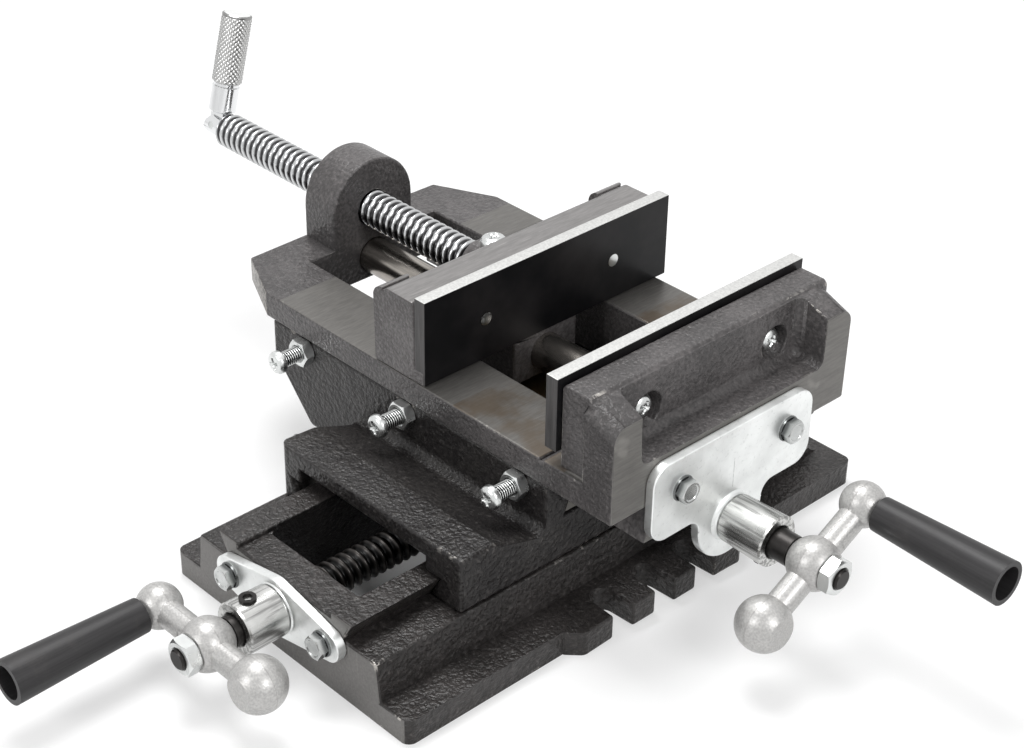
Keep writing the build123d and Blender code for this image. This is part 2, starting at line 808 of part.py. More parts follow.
def tee_outline():
    """Outline of the upper bracket: a wide head over a round lobe about the screw."""
    high = tee_top_z - upper_screw_z
    low = tee_bottom_z - upper_screw_z
    head = Pos(0, (high + low) / 2) * Rectangle(2 * tee_half, high - low)
    head = fillet(head.vertices(), tee_corner)
    stem = Pos(0, (high - tee_corner) / 2) * Rectangle(2 * tee_lobe_radius, high - tee_corner)
    shape = head + stem + Circle(tee_lobe_radius)
    inner = shape.vertices().filter_by(
        lambda v: abs(abs(v.X) - tee_lobe_radius) < 0.01 and abs(v.Y - low) < 0.01)
    return fillet(inner, tee_inner_corner)


def make_upper_bracket():
    plate = extrude(tee_outline(), amount=bracket_thick)
    plate -= Cylinder(bush_spigot_d / 2 + fit_gap, 4 * bracket_thick)
    for side in (-1, 1):
        plate -= Pos(side * tee_bolt_half, tee_bolt_z - upper_screw_z) * Cylinder(
            bolt_d / 2 + screw_gap, 4 * bracket_thick)
    return one_piece(upper_place(body_front).location * plate)


def bush(length, screw_side):
    """Turned bush with a spigot in the plate and a threaded hole for its set screw."""
    body = Pos(0, 0, bracket_thick + length / 2) * Cylinder(bush_d / 2, length)
    spigot = Pos(0, 0, (bracket_thick + 1) / 2) * Cylinder(bush_spigot_d / 2, bracket_thick + 1)
    bore = Cylinder(journal_d / 2 + run_gap, 4 * (length + bracket_thick))
    rim = body.edges().filter_by(GeomType.CIRCLE).sort_by(Axis.Z)[-1]
    body = chamfer(rim, 0.5)
    z = bracket_thick + length - set_screw_inset
    hole = Pos(0, screw_side * bush_d / 2, z) * Rot(90, 0, 0) * Cylinder(
        set_screw_d / 2 + screw_gap, bush_d)
    hole &= Pos(0, screw_side * bush_d, z) * Box(bush_d, 2 * bush_d, bush_d)
    return body + spigot - bore - hole


def set_screw(length, screw_side):
    """Set screw in the bush, its dog point in the journal's groove."""
    z = bracket_thick + length - set_screw_inset
    inner = collar_groove_d / 2 + run_gap
    shoulder = journal_d / 2 + 0.6
    outer = bush_d / 2 + set_screw_proud
    shank = Cylinder(set_screw_d / 2, outer - shoulder)
    socket = Pos(0, 0, (outer - shoulder) / 2) * extrude(
        RegularPolygon(1.3, 6, major_radius=False), amount=2, both=True)
    screw = Pos(0, 0, (outer + shoulder) / 2) * (shank - socket)
    screw += Pos(0, 0, (inner + shoulder) / 2 + 0.05) * Cylinder(
        set_screw_tip_d / 2, shoulder - inner + 0.1)
    return Pos(0, 0, z) * Rot(-90 * screw_side, 0, 0) * screw


def flange_bolt():
    """Bolt with its flange's underside at the origin and the shank along -Z."""
    shank = Pos(0, 0, -bolt_grip / 2) * Cylinder(bolt_d / 2, bolt_grip)
    flange = Pos(0, 0, bolt_flange_thick / 2) * Cylinder(bolt_flange_d / 2, bolt_flange_thick)
    return shank + flange + hexagon(bolt_af, bolt_flange_thick + bolt_head_height)


def make_lower_bolts():
    place = lower_place(-half_length - bracket_thick).location
    return [one_piece(place * Pos(side * rhomb_bolt_half, 0, 0) * flange_bolt())
            for side in (-1, 1)]


def make_upper_bolts():
    place = upper_place(body_plate_front).location
    rise = tee_bolt_z - upper_screw_z
    return [one_piece(place * Pos(side * tee_bolt_half, rise, 0) * flange_bolt())
            for side in (-1, 1)]


# Lead screws, nuts, cranks and grips

def lead_screw(thread_d, thread_length, bush_length, gap):
    """Local Z points out at the crank; zero is the plate's seat on the casting."""
    shoulder = bracket_thick + bush_length + gap
    end = shoulder + hub_back + hub_front + crank_nut_thick + crank_stud_proud
    journal = Pos(0, 0, shoulder / 2) * Cylinder(journal_d / 2, shoulder)
    seat = Pos(0, 0, (shoulder + end) / 2 - 0.5) * Cylinder(crank_seat_d / 2, end - shoulder + 1)
    seat = chamfer(seat.edges().filter_by(GeomType.CIRCLE).sort_by(Axis.Z)[-1], 0.6)
    thread = Pos(0, 0, -thread_length / 2 - 0.4) * Cylinder(thread_d / 2, thread_length)
    thread = chamfer(thread.edges().filter_by(GeomType.CIRCLE).sort_by(Axis.Z)[0], 1.0)
    relief = Pos(0, 0, -0.5) * Cylinder(min(thread_d, journal_d) / 2 - 0.6, 2)
    z = bracket_thick + bush_length - set_screw_inset
    ring = Pos(0, 0, z) * (Cylinder(journal_d, collar_groove_width)
                           - Cylinder(collar_groove_d / 2, collar_groove_width + 1))
    return journal - ring + seat + thread + relief


def make_lower_screw():
    reach = half_length + lower_screw_end
    screw = lead_screw(lower_screw_d, reach, lower_bush_length, lower_crank_gap)
    return one_piece(lower_place(-half_length).location * screw)


def make_upper_screw():
    reach = upper_screw_end - body_front
    screw = lead_screw(upper_screw_d, reach, upper_bush_length, upper_crank_gap)
    return one_piece(upper_place(body_front).location * screw)


def make_lower_nut():
    x0 = lower_nut_x - lower_nut_length / 2
    x1 = lower_nut_x + lower_nut_length / 2
    low = lower_screw_z - lower_screw_d / 2 - nut_wall
    nut = block(x0, x1, -lower_nut_half, lower_nut_half, low, floor_z + 1)
    nut += block(x0, x1, -lower_nut_half - nut_flange_out, lower_nut_half + nut_flange_out,
                 floor_z, floor_z + nut_flange_thick)
    nut -= rod_x(x0 - 1, x1 + 1, 0, lower_screw_z, lower_screw_d + 2 * screw_gap)
    return one_piece(nut)


def make_upper_nut():
    half = upper_nut_half_length
    x0 = upper_screw_x - upper_nut_half_width
    x1 = upper_screw_x + upper_nut_half_width
    low = upper_screw_z - upper_screw_d / 2 - nut_wall / 2
    nut = block(x0, x1, -half, half, low, floor_z + 1)
    nut += block(x0, x1, -half - nut_flange_out, half + nut_flange_out,
                 floor_z, floor_z + nut_flange_thick)
    nut -= rod_y(-half - nut_flange_out - 1, half + nut_flange_out + 1, upper_screw_x,
                 upper_screw_z, upper_screw_d + 2 * screw_gap)
    return one_piece(nut)


def crank():
    """Crank in its own plane: local X to the grip's ball, local Z out from the screw."""
    hub = Sphere(hub_radius) + Rot(0, 90, 0) * Cylinder(arm_d / 2, 2 * crank_reach)
    hub -= Pos(0, 0, hub_front + hub_radius) * Box(
        crank_nut_af + 4, crank_nut_af + 4, 2 * hub_radius)
    hub -= Pos(0, 0, -hub_back - hub_radius) * Box(3 * hub_radius, 3 * hub_radius, 2 * hub_radius)
    ball = Pos(crank_reach, 0, 0) * Sphere(grip_ball_radius)
    ball -= Pos(crank_reach, 0, grip_ball_flat + grip_ball_radius) * Box(
        3 * grip_ball_radius, 3 * grip_ball_radius, 2 * grip_ball_radius)
    weight = Pos(-crank_reach, 0, 0) * Sphere(weight_ball_radius)
    weight -= Pos(-crank_reach, 0, weight_facet + weight_ball_radius) * Box(
        3 * weight_ball_radius, 3 * weight_ball_radius, 2 * weight_ball_radius)
    body = hub + ball + weight
    body -= Cylinder(crank_seat_d / 2 + fit_gap, 4 * hub_radius)
    hole_depth = spindle_depth + 0.5
    body -= Pos(crank_reach, 0, grip_ball_flat - hole_depth / 2) * Cylinder(
        spindle_d / 2 + fit_gap, hole_depth + 0.02)
    return body


def crank_nut():
    body = Pos(0, 0, hub_front) * hexagon(crank_nut_af, crank_nut_thick)
    return body - Cylinder(crank_seat_d / 2 + screw_gap, 8 * crank_nut_thick)


def grip():
    """Tapered tube that turns on the spindle in the crank's ball."""
    start = grip_ball_flat + grip_gap
    outline = Plane.XZ * Polygon(
        (0, start), (grip_small_d / 2, start), (grip_large_d / 2, start + grip_length),
        (grip_bore_d / 2, start + grip_length), (grip_bore_d / 2, start + grip_floor),
        (0, start + grip_floor), align=None)
    tube = revolve(outline, Axis.Z)
    tube -= Pos(0, 0, start) * Cylinder(spindle_d / 2 + run_gap, 4 * grip_floor)
    return Pos(crank_reach, 0, 0) * tube


def spindle():
    """Stud with a round head inside the grip."""
    start = grip_ball_flat - spindle_depth
    head = grip_ball_flat + 2 * grip_gap + grip_floor
    stud = Pos(0, 0, (start + head) / 2) * Cylinder(spindle_d / 2, head - start + 0.02)
    cap = Pos(0, 0, head + spindle_head_height / 2) * Cylinder(
        spindle_head_d / 2, spindle_head_height)
    slot = Pos(0, 0, head + spindle_head_height) * Box(spindle_head_d + 1, 1.2, 2.4)
    return Pos(crank_reach, 0, 0) * (stud + cap - slot)


def lower_crank_place():
    return lower_place(lower_crank_x).location * Rot(0, 0, 180)


def upper_crank_place():
    return upper_place(upper_crank_y).location * Rot(0, 0, upper_crank_angle)


def crank_set(place, name):
    """Crank, nut, grip and spindle at one lead screw."""
    return {
        name + "_crank": [one_piece(place * crank())],
        name + "_crank_nut": [one_piece(place * crank_nut())],
        name + "_grip": [one_piece(place * grip())],
        name + "_grip_spindle": [one_piece(place * spindle())],
    }


nodes = {
    "base": [make_base()],
    "saddle": [make_saddle()],
    "lower_gib": [make_lower_gib()],
    "upper_gib": [make_upper_gib()],
    "lower_gib_screws": make_lower_gib_screws(),
    "upper_gib_screws": make_upper_gib_screws(),
    "lower_lock_nuts": make_lower_lock_nuts(),
    "upper_lock_nuts": make_upper_lock_nuts(),
    "lower_lead_nut": [make_lower_nut()],
    "upper_lead_nut": [make_upper_nut()],
    "vise_body": [make_body()],
    "fixed_jaw_plate": [make_fixed_plate()],
    "fixed_plate_screws": make_plate_screws(web_back + plate_bore_depth, fixed_face),
    "guide_bar": [make_guide_bar()],
    "moving_jaw": [make_moving_jaw()],
    "moving_jaw_plate": [make_moving_plate()],
    "moving_plate_screws": make_plate_screws(moving_web_back - plate_bore_depth, moving_face),
    "retainer_screw": [make_retainer()],
    "clamp_screw": [make_clamp_screw()],
    "handle_pin": [make_handle_pin()],
    "folding_handle": [make_handle()],
    "lower_bracket": [make_lower_bracket()],
    "lower_bush": [one_piece(lower_place(-half_length).location * bush(lower_bush_length, 1))],
    "lower_set_screw": [
        one_piece(lower_place(-half_length).location * set_screw(lower_bush_length, 1))],
    "lower_bracket_bolts": make_lower_bolts(),
    "upper_bracket": [make_upper_bracket()],
    "upper_bush": [one_piece(upper_place(body_front).location * bush(upper_bush_length, -1))],
    "upper_set_screw": [
        one_piece(upper_place(body_front).location * set_screw(upper_bush_length, -1))],
    "upper_bracket_bolts": make_upper_bolts(),
    "lower_lead_screw": [make_lower_screw()],
    "upper_lead_screw": [make_upper_screw()],
}
nodes.update(crank_set(lower_crank_place(), "lower"))
nodes.update(crank_set(upper_crank_place(), "upper"))

os.makedirs("parts", exist_ok=True)
for name, solids in nodes.items():
    shape = solids[0] if len(solids) == 1 else Compound(children=solids)
    export_step(shape, "parts/" + name + ".step")
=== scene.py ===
# %% [markdown]
# # A cross slide vise
# This lesson dresses a small machine vise: black cast iron, bright zinc, polished and blackened steel,
# blasted aluminium cranks and dark tube grips. The solid model is loaded as a fixed frame in metres,
# and every piece that is made here rides on one of its moving bodies.

# %% Frame
from math import cos, pi, radians, sin, sqrt, tan

import bmesh
import bpy
from mathutils import Matrix, Vector


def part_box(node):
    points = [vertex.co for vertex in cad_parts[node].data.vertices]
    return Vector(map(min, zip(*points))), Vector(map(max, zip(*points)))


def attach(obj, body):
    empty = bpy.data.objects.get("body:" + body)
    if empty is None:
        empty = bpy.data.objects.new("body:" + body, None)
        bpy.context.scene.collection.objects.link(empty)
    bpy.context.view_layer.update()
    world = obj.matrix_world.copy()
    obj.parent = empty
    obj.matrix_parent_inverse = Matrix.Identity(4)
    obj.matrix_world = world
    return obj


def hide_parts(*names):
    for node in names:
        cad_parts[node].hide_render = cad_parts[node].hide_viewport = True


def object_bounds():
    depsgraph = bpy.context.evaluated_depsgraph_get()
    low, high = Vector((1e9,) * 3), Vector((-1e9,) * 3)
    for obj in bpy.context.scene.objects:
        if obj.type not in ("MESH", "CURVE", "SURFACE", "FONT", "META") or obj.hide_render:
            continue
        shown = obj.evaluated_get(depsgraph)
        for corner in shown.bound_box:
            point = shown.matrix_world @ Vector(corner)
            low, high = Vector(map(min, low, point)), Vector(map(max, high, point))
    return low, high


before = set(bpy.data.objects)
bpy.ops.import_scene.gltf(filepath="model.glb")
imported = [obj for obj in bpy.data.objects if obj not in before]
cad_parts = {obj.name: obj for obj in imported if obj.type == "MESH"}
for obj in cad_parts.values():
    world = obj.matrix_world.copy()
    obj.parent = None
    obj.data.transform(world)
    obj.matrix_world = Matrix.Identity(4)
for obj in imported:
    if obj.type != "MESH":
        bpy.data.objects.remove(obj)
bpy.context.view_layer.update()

scene = bpy.context.scene
mm = 0.001


def in_scene(name, data):
    """A new object, linked into the scene."""
    thing = bpy.data.objects.new(name, data)
    scene.collection.objects.link(thing)
    return thing


def in_mm(*sizes):
    """Sizes written in millimetres, as metres."""
    return [size * mm for size in sizes]


# %% [markdown]
# ## Camera
# The photograph was taken with a long lens from the front left, a little over half a metre away.
# A camera is set by three vectors: where it stands, which way is right, and which way is up.
# Azimuth and elevation give those vectors, and a small roll levels the picture as it was held.

# %% Camera
camera_place = Vector((-0.36538, -0.37654, 0.38336))
azimuth, elevation, roll = radians(-43.695), radians(32.044), radians(0.928)
focal_mm, sensor_mm = 74.56, 36.0
picture_width, picture_shift = 1024, (-2.42, -2.58)
back = Vector((sin(azimuth) * cos(elevation), -cos(azimuth) * cos(elevation), sin(elevation)))
level = Vector((cos(azimuth), sin(azimuth), 0))
upright = back.cross(level)
right, up = cos(roll) * level + sin(roll) * upright, cos(roll) * upright - sin(roll) * level
lens = bpy.data.cameras.new("camera")
lens.lens, lens.sensor_width = focal_mm, sensor_mm
lens.shift_x, lens.shift_y = (pixels / picture_width for pixels in picture_shift)
lens.dof.use_dof = False
camera = in_scene("camera", lens)
turned_axes = Matrix((right, up, back)).transposed().to_4x4()
camera.matrix_world = Matrix.Translation(camera_place) @ turned_axes
scene.camera = camera
print("camera stands", round(camera_place.length / mm), "mm from the base")

# %% [markdown]
# ## Maths for nodes
# A finish that changes over a surface is a sum of masks, and a thread is a formula for a radius.
# Written as separate Math nodes both are hard to read, so a small class wraps a node's socket and turns
# Python's operators into Math nodes. One method, `make`, adds every other node from its type, its
# settings and its inputs. The same two classes serve material trees and Geometry Nodes trees.


# %% A socket with operators
def math_node(operation):
    """A method that adds one Math node for itself and another value."""
    return lambda self, other: self.math(operation, other)


class Value:
    """A number or vector that runs through a node tree."""

    def __init__(self, bench, socket):
        self.bench, self.socket = bench, socket

    def math(self, operation, *others):
        inputs = dict(enumerate((self, *others)))
        return self.bench.make("ShaderNodeMath", inputs, operation=operation)

    __add__ = __radd__ = math_node("ADD")
    __sub__ = math_node("SUBTRACT")
    __mul__ = __rmul__ = math_node("MULTIPLY")
    __truediv__ = math_node("DIVIDE")
    above, below = math_node("GREATER_THAN"), math_node("LESS_THAN")
    lowest, highest = math_node("MINIMUM"), math_node("MAXIMUM")

    def __rsub__(self, other):
        return self.bench.make("ShaderNodeMath", {0: other, 1: self}, operation="SUBTRACT")

    def size(self):
        return self.math("ABSOLUTE")

    def near(self, place, within):
        """1 where the value lies within a distance of a place."""
        return (self - place).size().below(within)

    def step(self, start, end):
        """A soft step from 0 at start to 1 at end."""
        ends = {"Value": self, "From Min": start, "From Max": end}
        return self.bench.make("ShaderNodeMapRange", ends, interpolation_type="SMOOTHSTEP")


class Bench:
    """Adds nodes to one node tree."""

    def __init__(self, tree):
        self.tree = tree

    def put(self, socket, value):
        if isinstance(value, Value):
            self.tree.links.new(value.socket, socket)
        elif isinstance(value, tuple) and socket.type == "RGBA":
            socket.default_value = (*value, 1.0)
        else:
            socket.default_value = value

    def make(self, kind, inputs=None, output=0, **settings):
        node = self.tree.nodes.new(kind)
        for key, value in settings.items():
            setattr(node, key, value)
        for key, value in (inputs or {}).items():
            self.put(node.inputs[key], value)
        return Value(self, node.outputs[output])

    def seen(self):
        """1 for rays that look at the room: from the camera, in mirrors and through glass."""
        rays = self.tree.nodes.new("ShaderNodeLightPath")
        camera_ray, glossy, through = (Value(self, rays.outputs["Is " + kind + " Ray"])
                                       for kind in ("Camera", "Glossy", "Transmission"))
        return camera_ray.highest(glossy).highest(through)

    def split(self, vector):
        """The three parts of a vector, from one Separate node."""
        node = self.tree.nodes.new("ShaderNodeSeparateXYZ")
        self.put(node.inputs[0], vector)
        return [Value(self, out) for out in node.outputs]


print("sockets take + - * / and named steps")

# %% [markdown]
# ## A shop for finishes
# Each finish is one material, with places taken from the object's own coordinates in metres, so the
# grain has its real size: a noise scale of 1000 gives grains of about a millimetre.
# A few kinds of node come back in every finish, so they get plain names here.


# %% The shop
def tint(red, green, blue):
    """A colour written as 0 to 255, as the linear numbers a shader takes."""
    return tuple(((part / 255 + 0.055) / 1.055) ** 2.4 for part in (red, green, blue))


def scaled(colour, share):
    """A colour made darker or lighter."""
    return tuple(part * share for part in colour)


class Shop(Bench):
    """Builds one material."""

    def __init__(self, name):
        self.material = bpy.data.materials.new(name)
        self.material.use_nodes = True
        super().__init__(self.material.node_tree)
        self.tree.nodes.clear()
        self.shader = self.tree.nodes.new("ShaderNodeBsdfPrincipled")
        end = self.tree.nodes.new("ShaderNodeOutputMaterial")
        self.tree.links.new(self.shader.outputs[0], end.inputs["Surface"])
        self.place = self.make("ShaderNodeTexCoord", output="Object")
        self.x, self.y, self.z = self.split(self.place)
        self.facing = self.split(self.make("ShaderNodeNewGeometry", output="True Normal"))

    def stretched(self, x, y, z):
        return self.make("ShaderNodeMapping", {"Vector": self.place, "Scale": (x, y, z)})

    def noise(self, scale, detail=3.0, rough=0.55, at=None, shift=0.0):
        return self.make("ShaderNodeTexNoise", {
            "Vector": at or self.place, "W": shift, "Scale": scale, "Detail": detail,
            "Roughness": rough}, noise_dimensions="4D")

    def mark(self, name):
        """A number stored on the mesh's faces or points."""
        return self.make("ShaderNodeAttribute", output="Fac", attribute_name=name)

    def mix(self, share, first, second):
        return self.make("ShaderNodeMix", {"Factor": share, 6: first, 7: second}, 2, data_type="RGBA")

    def bump(self, height, distance):
        return self.make("ShaderNodeBump", {"Height": height, "Distance": distance, "Strength": 1.0})

    def distance(self, place):
        """Distance from a point."""
        return self.make("ShaderNodeVectorMath", {0: self.place, 1: place}, "Value",
                         operation="DISTANCE")

    def finish(self, **inputs):
        for key, value in inputs.items():
            self.put(self.shader.inputs[key.replace("_", " ")], value)
        return self.material


print("shop ready")

# %% [markdown]
# ## Light and floor
# The picture was taken in a white light tent. Lamps overhead, at the left and in front give soft
# edges and small glints on the cast grain; the floor is white, and a faint shadow lies on it.
# The white background is a trick with light paths: the camera, and metal that mirrors the room, see
# white, while the light that falls on dull surfaces comes from a dimmer world. The floor is partly
# seen as white in the same way, which keeps the shadow on it as faint as in the picture. In a patch
# under the vise that white is masked away, which paints the floor there darker: painted shade.

# %% Floor
shade_patch_x, shade_patch_y, glow_share = 88 * mm, 45 * mm, 0.5
floor_shop = Shop("tent_floor")
floor_grain = floor_shop.noise(3, 2)
floor_shop.finish(Base_Color=floor_shop.mix(floor_grain, (0.88, 0.88, 0.88), (0.92, 0.92, 0.92)),
                  Roughness=0.8)
# The white glow is masked out in a patch under the vise, which paints that patch darker: painted shade.
outside_shade_patch = 1 - floor_shop.x.near(0.0, shade_patch_x) * floor_shop.y.near(0.0, shade_patch_y)
glow = floor_shop.make("ShaderNodeEmission", {"Color": (1.0, 1.0, 1.0), "Strength": 1.0})
floor_end = floor_shop.tree.nodes["Material Output"]
floor_shop.put(floor_end.inputs["Surface"], floor_shop.make("ShaderNodeMixShader", {
    0: floor_shop.seen() * glow_share * outside_shade_patch, 1: Value(floor_shop, floor_shop.shader.outputs[0]),
    2: glow}))
floor_mesh = bpy.data.meshes.new("tent_floor")
ground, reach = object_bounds()[0][2] - 0.1 * mm, 6.0
floor_mesh.from_pydata([(-reach, -reach, ground), (reach, -reach, ground), (reach, reach, ground),
                        (-reach, reach, ground)], [], [(0, 1, 2, 3)])
floor_mesh.materials.append(floor_shop.material)
floor = in_scene("tent_floor", floor_mesh)
print("floor at", round(ground / mm, 2), "mm")

# %% World
dim_light = 0.4
world = bpy.data.worlds.new("tent")
world.use_nodes = True
scene.world = world
tent = Bench(world.node_tree)
world.node_tree.nodes.clear()
white, dim = (tent.make("ShaderNodeBackground", {"Color": (1.0, 1.0, 1.0), "Strength": strength})
              for strength in (1.0, dim_light))
sky = tent.tree.nodes.new("ShaderNodeOutputWorld")
tent.put(sky.inputs[0], tent.make("ShaderNodeMixShader", {0: tent.seen(), 1: dim, 2: white}))
print("world:", len(world.node_tree.nodes), "nodes")

# %% Lamps
lit_point = Vector((0, 0, 0.03))
for name, place, wide, power in (("top_lamp", (0.1, 0.3, 1.1), 0.5, 11),
                                 ("left_lamp", (-1.0, 0.1, 0.7), 0.35, 4),
                                 ("front_lamp", (-0.1, -1.05, 0.75), 0.4, 6)):
    light = bpy.data.lights.new(name, "AREA")
    light.shape, light.size, light.energy = "SQUARE", wide, power
    stand = in_scene(name, light)
    stand.location = place
    stand.rotation_euler = (lit_point - Vector(place)).to_track_quat("-Z", "Y").to_euler()
scene.view_settings.view_transform = "Standard"

# %% [markdown]
# ## Cast iron
# The four castings are sand-cast and thinly painted black. Three things make the finish: sand grain of
# about a millimetre that catches small lights, with its highest grains also painted lighter as painted
# glints, larger lumps left by the mould, and bright spots where corners were knocked. The corners are
# marked on the mesh when they are rounded, and a noise breaks the mark up, so only a few places shine.
# Machined faces are masks made from where a face lies and which way it looks.


# %% Iron finish
def iron(name, dark, light, ground=None, ground_tint=None, knocks=(), bare_corner=None,
         grain_mm=0.62, grain_scale=760, stain=None, window_shade=None):
    """Painted cast iron. ground, bare_corner, stain and greasy take the shop and give masks."""
    shop = Shop(name)
    lumps = shop.noise(210, 3, 0.6)
    grain = shop.noise(grain_scale, 3, 0.5, shift=3.1)
    cloud = shop.noise(45, 3, 0.6, shift=8.0)
    paint = shop.mix((grain * 0.55 + cloud * 0.45).step(0.4, 0.62), tint(*dark), tint(*light))
    # The highest grains are painted lighter: painted glints on the cast grain.
    paint = shop.mix(grain.step(0.6, 0.72) * 0.2, paint, tint(122, 118, 116))
    # Inside the base's window the paint is made near black: painted shade in the recess.
    if window_shade:
        paint = shop.mix(window_shade(shop) * 0.85, paint, tint(12, 11, 11))
    chips = shop.noise(520, 4, 0.7, shift=5.5)
    rare = shop.noise(60, 2, 0.5, shift=9.0).step(0.54, 0.66)
    worn = shop.mark("worn") * chips.step(0.53, 0.6) * rare * 0.7
    for place, reach in knocks:
        near = 1 - shop.distance(Vector(place) * mm).step(0.3 * reach * mm, reach * mm)
        worn = worn.highest(near * chips.step(0.46, 0.54) * (shop.mark("worn") + 0.03).lowest(1))
    colour, rough, flat = paint, 0.25 + lumps * 0.1, 0.0
    if ground:
        machined = ground(shop)
        streaks = shop.noise(160, 4, 0.65, at=shop.stretched(1, 9, 9), shift=2.0)
        scratch = shop.noise(90, 2, 0.5, at=shop.stretched(1, 26, 1), shift=6.0).step(0.64, 0.7)
        dull, clean, cut = (tint(*scaled(ground_tint, share)) for share in (0.86, 1, 1.3))
        bare = shop.mix(scratch * 0.4, shop.mix(streaks.step(0.3, 0.7), dull, clean), cut)
        if stain:
            patches = shop.noise(50, 4, 0.6, shift=1.3).step(0.42, 0.62) * stain(shop)
            bare = shop.mix(patches * 0.75, bare, tint(88, 76, 62))
        colour = shop.mix(machined, colour, bare)
        rough = rough + machined * 0.04
        flat = machined * 0.96
    if bare_corner:
        worn = worn.highest(bare_corner(shop) * (chips + 0.25).step(0.62, 0.8) * 0.6)
    colour = shop.mix(worn, colour, tint(178, 174, 169))
    metallic = worn * 0.7 if not ground else (machined * 0.5).highest(worn * 0.7)
    height = (lumps * 0.9 + grain) * (1 - flat)
    return shop.finish(Base_Color=colour, Metallic=metallic, Roughness=rough, Specular_IOR_Level=0.28,
                       Normal=shop.bump(height, grain_mm * mm))


# %% [markdown]
# Each casting's machined faces are found by height and direction. A face that looks along -Y has a
# normal whose Y part is near -1, and the top of the ways lies at one height. A mask reaches a skin's
# depth below its face. Knocks are a place in millimetres and a reach.

# %% Iron of the four castings
ways_top, ways_rough_from, jaw_top_from, skin = in_mm(56.2, 79.5, 80, 0.3)
stain_from, window_x, window_half_x, window_half_y = in_mm(-45, -5, 76.4, 20.7)
body_low, base_low, jaw_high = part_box("vise_body")[0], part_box("base")[0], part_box("moving_jaw")[1]


def body_ground(shop):
    front = shop.facing[1].below(-0.9) * shop.y.below(body_low.y + skin)
    ways = shop.facing[2].above(0.9) * shop.z.near(ways_top, 2 * skin) * shop.y.below(ways_rough_from)
    return front.highest(ways)


def body_stain(shop):
    return shop.y.above(stain_from) * shop.y.below(0.0) * shop.facing[2].above(0.9)


def body_bare_corner(shop):
    return shop.facing[0].below(-0.8) * shop.facing[1].near(0.43, 0.1)


def base_ground(shop):
    return shop.facing[0].below(-0.9) * shop.x.below(base_low.x + skin)


def base_window_shade(shop):
    """The walls of the window that the lead screw lies in, painted near black as painted shade."""
    inside = shop.x.near(window_x, window_half_x) * shop.y.near(0.0, window_half_y)
    return inside * (1 - shop.facing[2].above(0.5))


def jaw_ground(shop):
    return shop.facing[2].above(0.9) * shop.z.above(jaw_top_from)


# The body's and the moving jaw's paint is lighter than the base's and the saddle's: partly their own
# tone, partly painted sheen where light falls on their sides.
body_iron = iron("body_iron", (66, 64, 64), (90, 87, 87), body_ground, (112, 110, 107),
                 (((-28.6, -60, 79.6), 5), ((-24.5, -53.5, 81.6), 4), ((57, -57, 80.9), 7),
                  ((50, -60, 64), 5)), body_bare_corner, 0.45, 900, body_stain)
base_iron = iron("base_iron", (36, 34, 33), (54, 51, 50), base_ground, (112, 110, 108),
                 (((-91, -38, 20), 3), ((-91, -48, 8), 3)), window_shade=base_window_shade)
saddle_iron = iron("saddle_iron", (30, 28, 28), (48, 46, 45))
jaw_iron = iron("jaw_iron", (76, 73, 73), (100, 97, 97), jaw_ground, (136, 134, 133), grain_mm=0.4,
                grain_scale=900)
print("iron finishes:", 4)

# %% [markdown]
# ## Steel, zinc and aluminium
# Bright metal takes its look from the room, so its own colour stays even and the detail sits in the
# roughness and in fine lines left by the tool. Thread roots hold grease and shade, so a thread's
# colour darkens with the depth that is stored on its points.


# %% Metal finishes
def metal(name, colour, rough, cloud_scale=60, lines=None, metallic=1.0, spread=0.1, threaded=False,
          root_tint=(26, 26, 27), streak=0.35, specks=None, scribe=None):
    """Bare metal; lines stretches a fine noise along the tool's path, and a thread's roots are dark."""
    shop = Shop(name)
    cloud = shop.noise(cloud_scale, 3, 0.6)
    colour = tint(*colour)
    body = shop.mix(cloud.step(0.3, 0.7), scaled(colour, 1 - spread), colour)
    height = shop.noise(900, 2, 0.5, shift=1.0) * 0.3
    if lines:
        fine = shop.noise(1.0, 2, 0.5, at=shop.stretched(*lines), shift=4.0)
        body = shop.mix(fine.step(0.42, 0.6) * streak, body, scaled(colour, 0.25))
        height = fine
    if specks:
        dots = shop.noise(specks, 3, 0.65, shift=7.0).step(0.56, 0.7)
        body = shop.mix(dots * 0.28, body, scaled(colour, 0.4))
    if scribe:
        body = shop.mix(scribe(shop) * 0.6, body, scaled(colour, 0.3))
    if threaded:
        body = shop.mix(shop.mark("root").step(0.15, 0.65), body, tint(*root_tint))
    return shop.finish(Base_Color=body, Metallic=metallic, Roughness=cloud * 0.12 + (rough - 0.06),
                       Normal=shop.bump(height, tool_line))


hairline, tool_line, fine_line = in_mm(0.13, 0.01, 0.006)
scribe_x, scribe_z, scribe_half = in_mm(16.2, 46, 5)


def tee_scribe(shop):
    """A short scribed line on the upper bracket's front."""
    return (shop.x.near(scribe_x, hairline) * shop.z.near(scribe_z, scribe_half)
            * shop.facing[1].below(-0.9) * shop.noise(300, 2, shift=4.4).step(0.35, 0.5))


zinc = metal("zinc", (222, 224, 223), 0.28, 90, spread=0.22)
plate_zinc = metal("plate_zinc", (241, 243, 242), 0.36, 80, metallic=0.85, spread=0.2, specks=800,
                   scribe=tee_scribe)
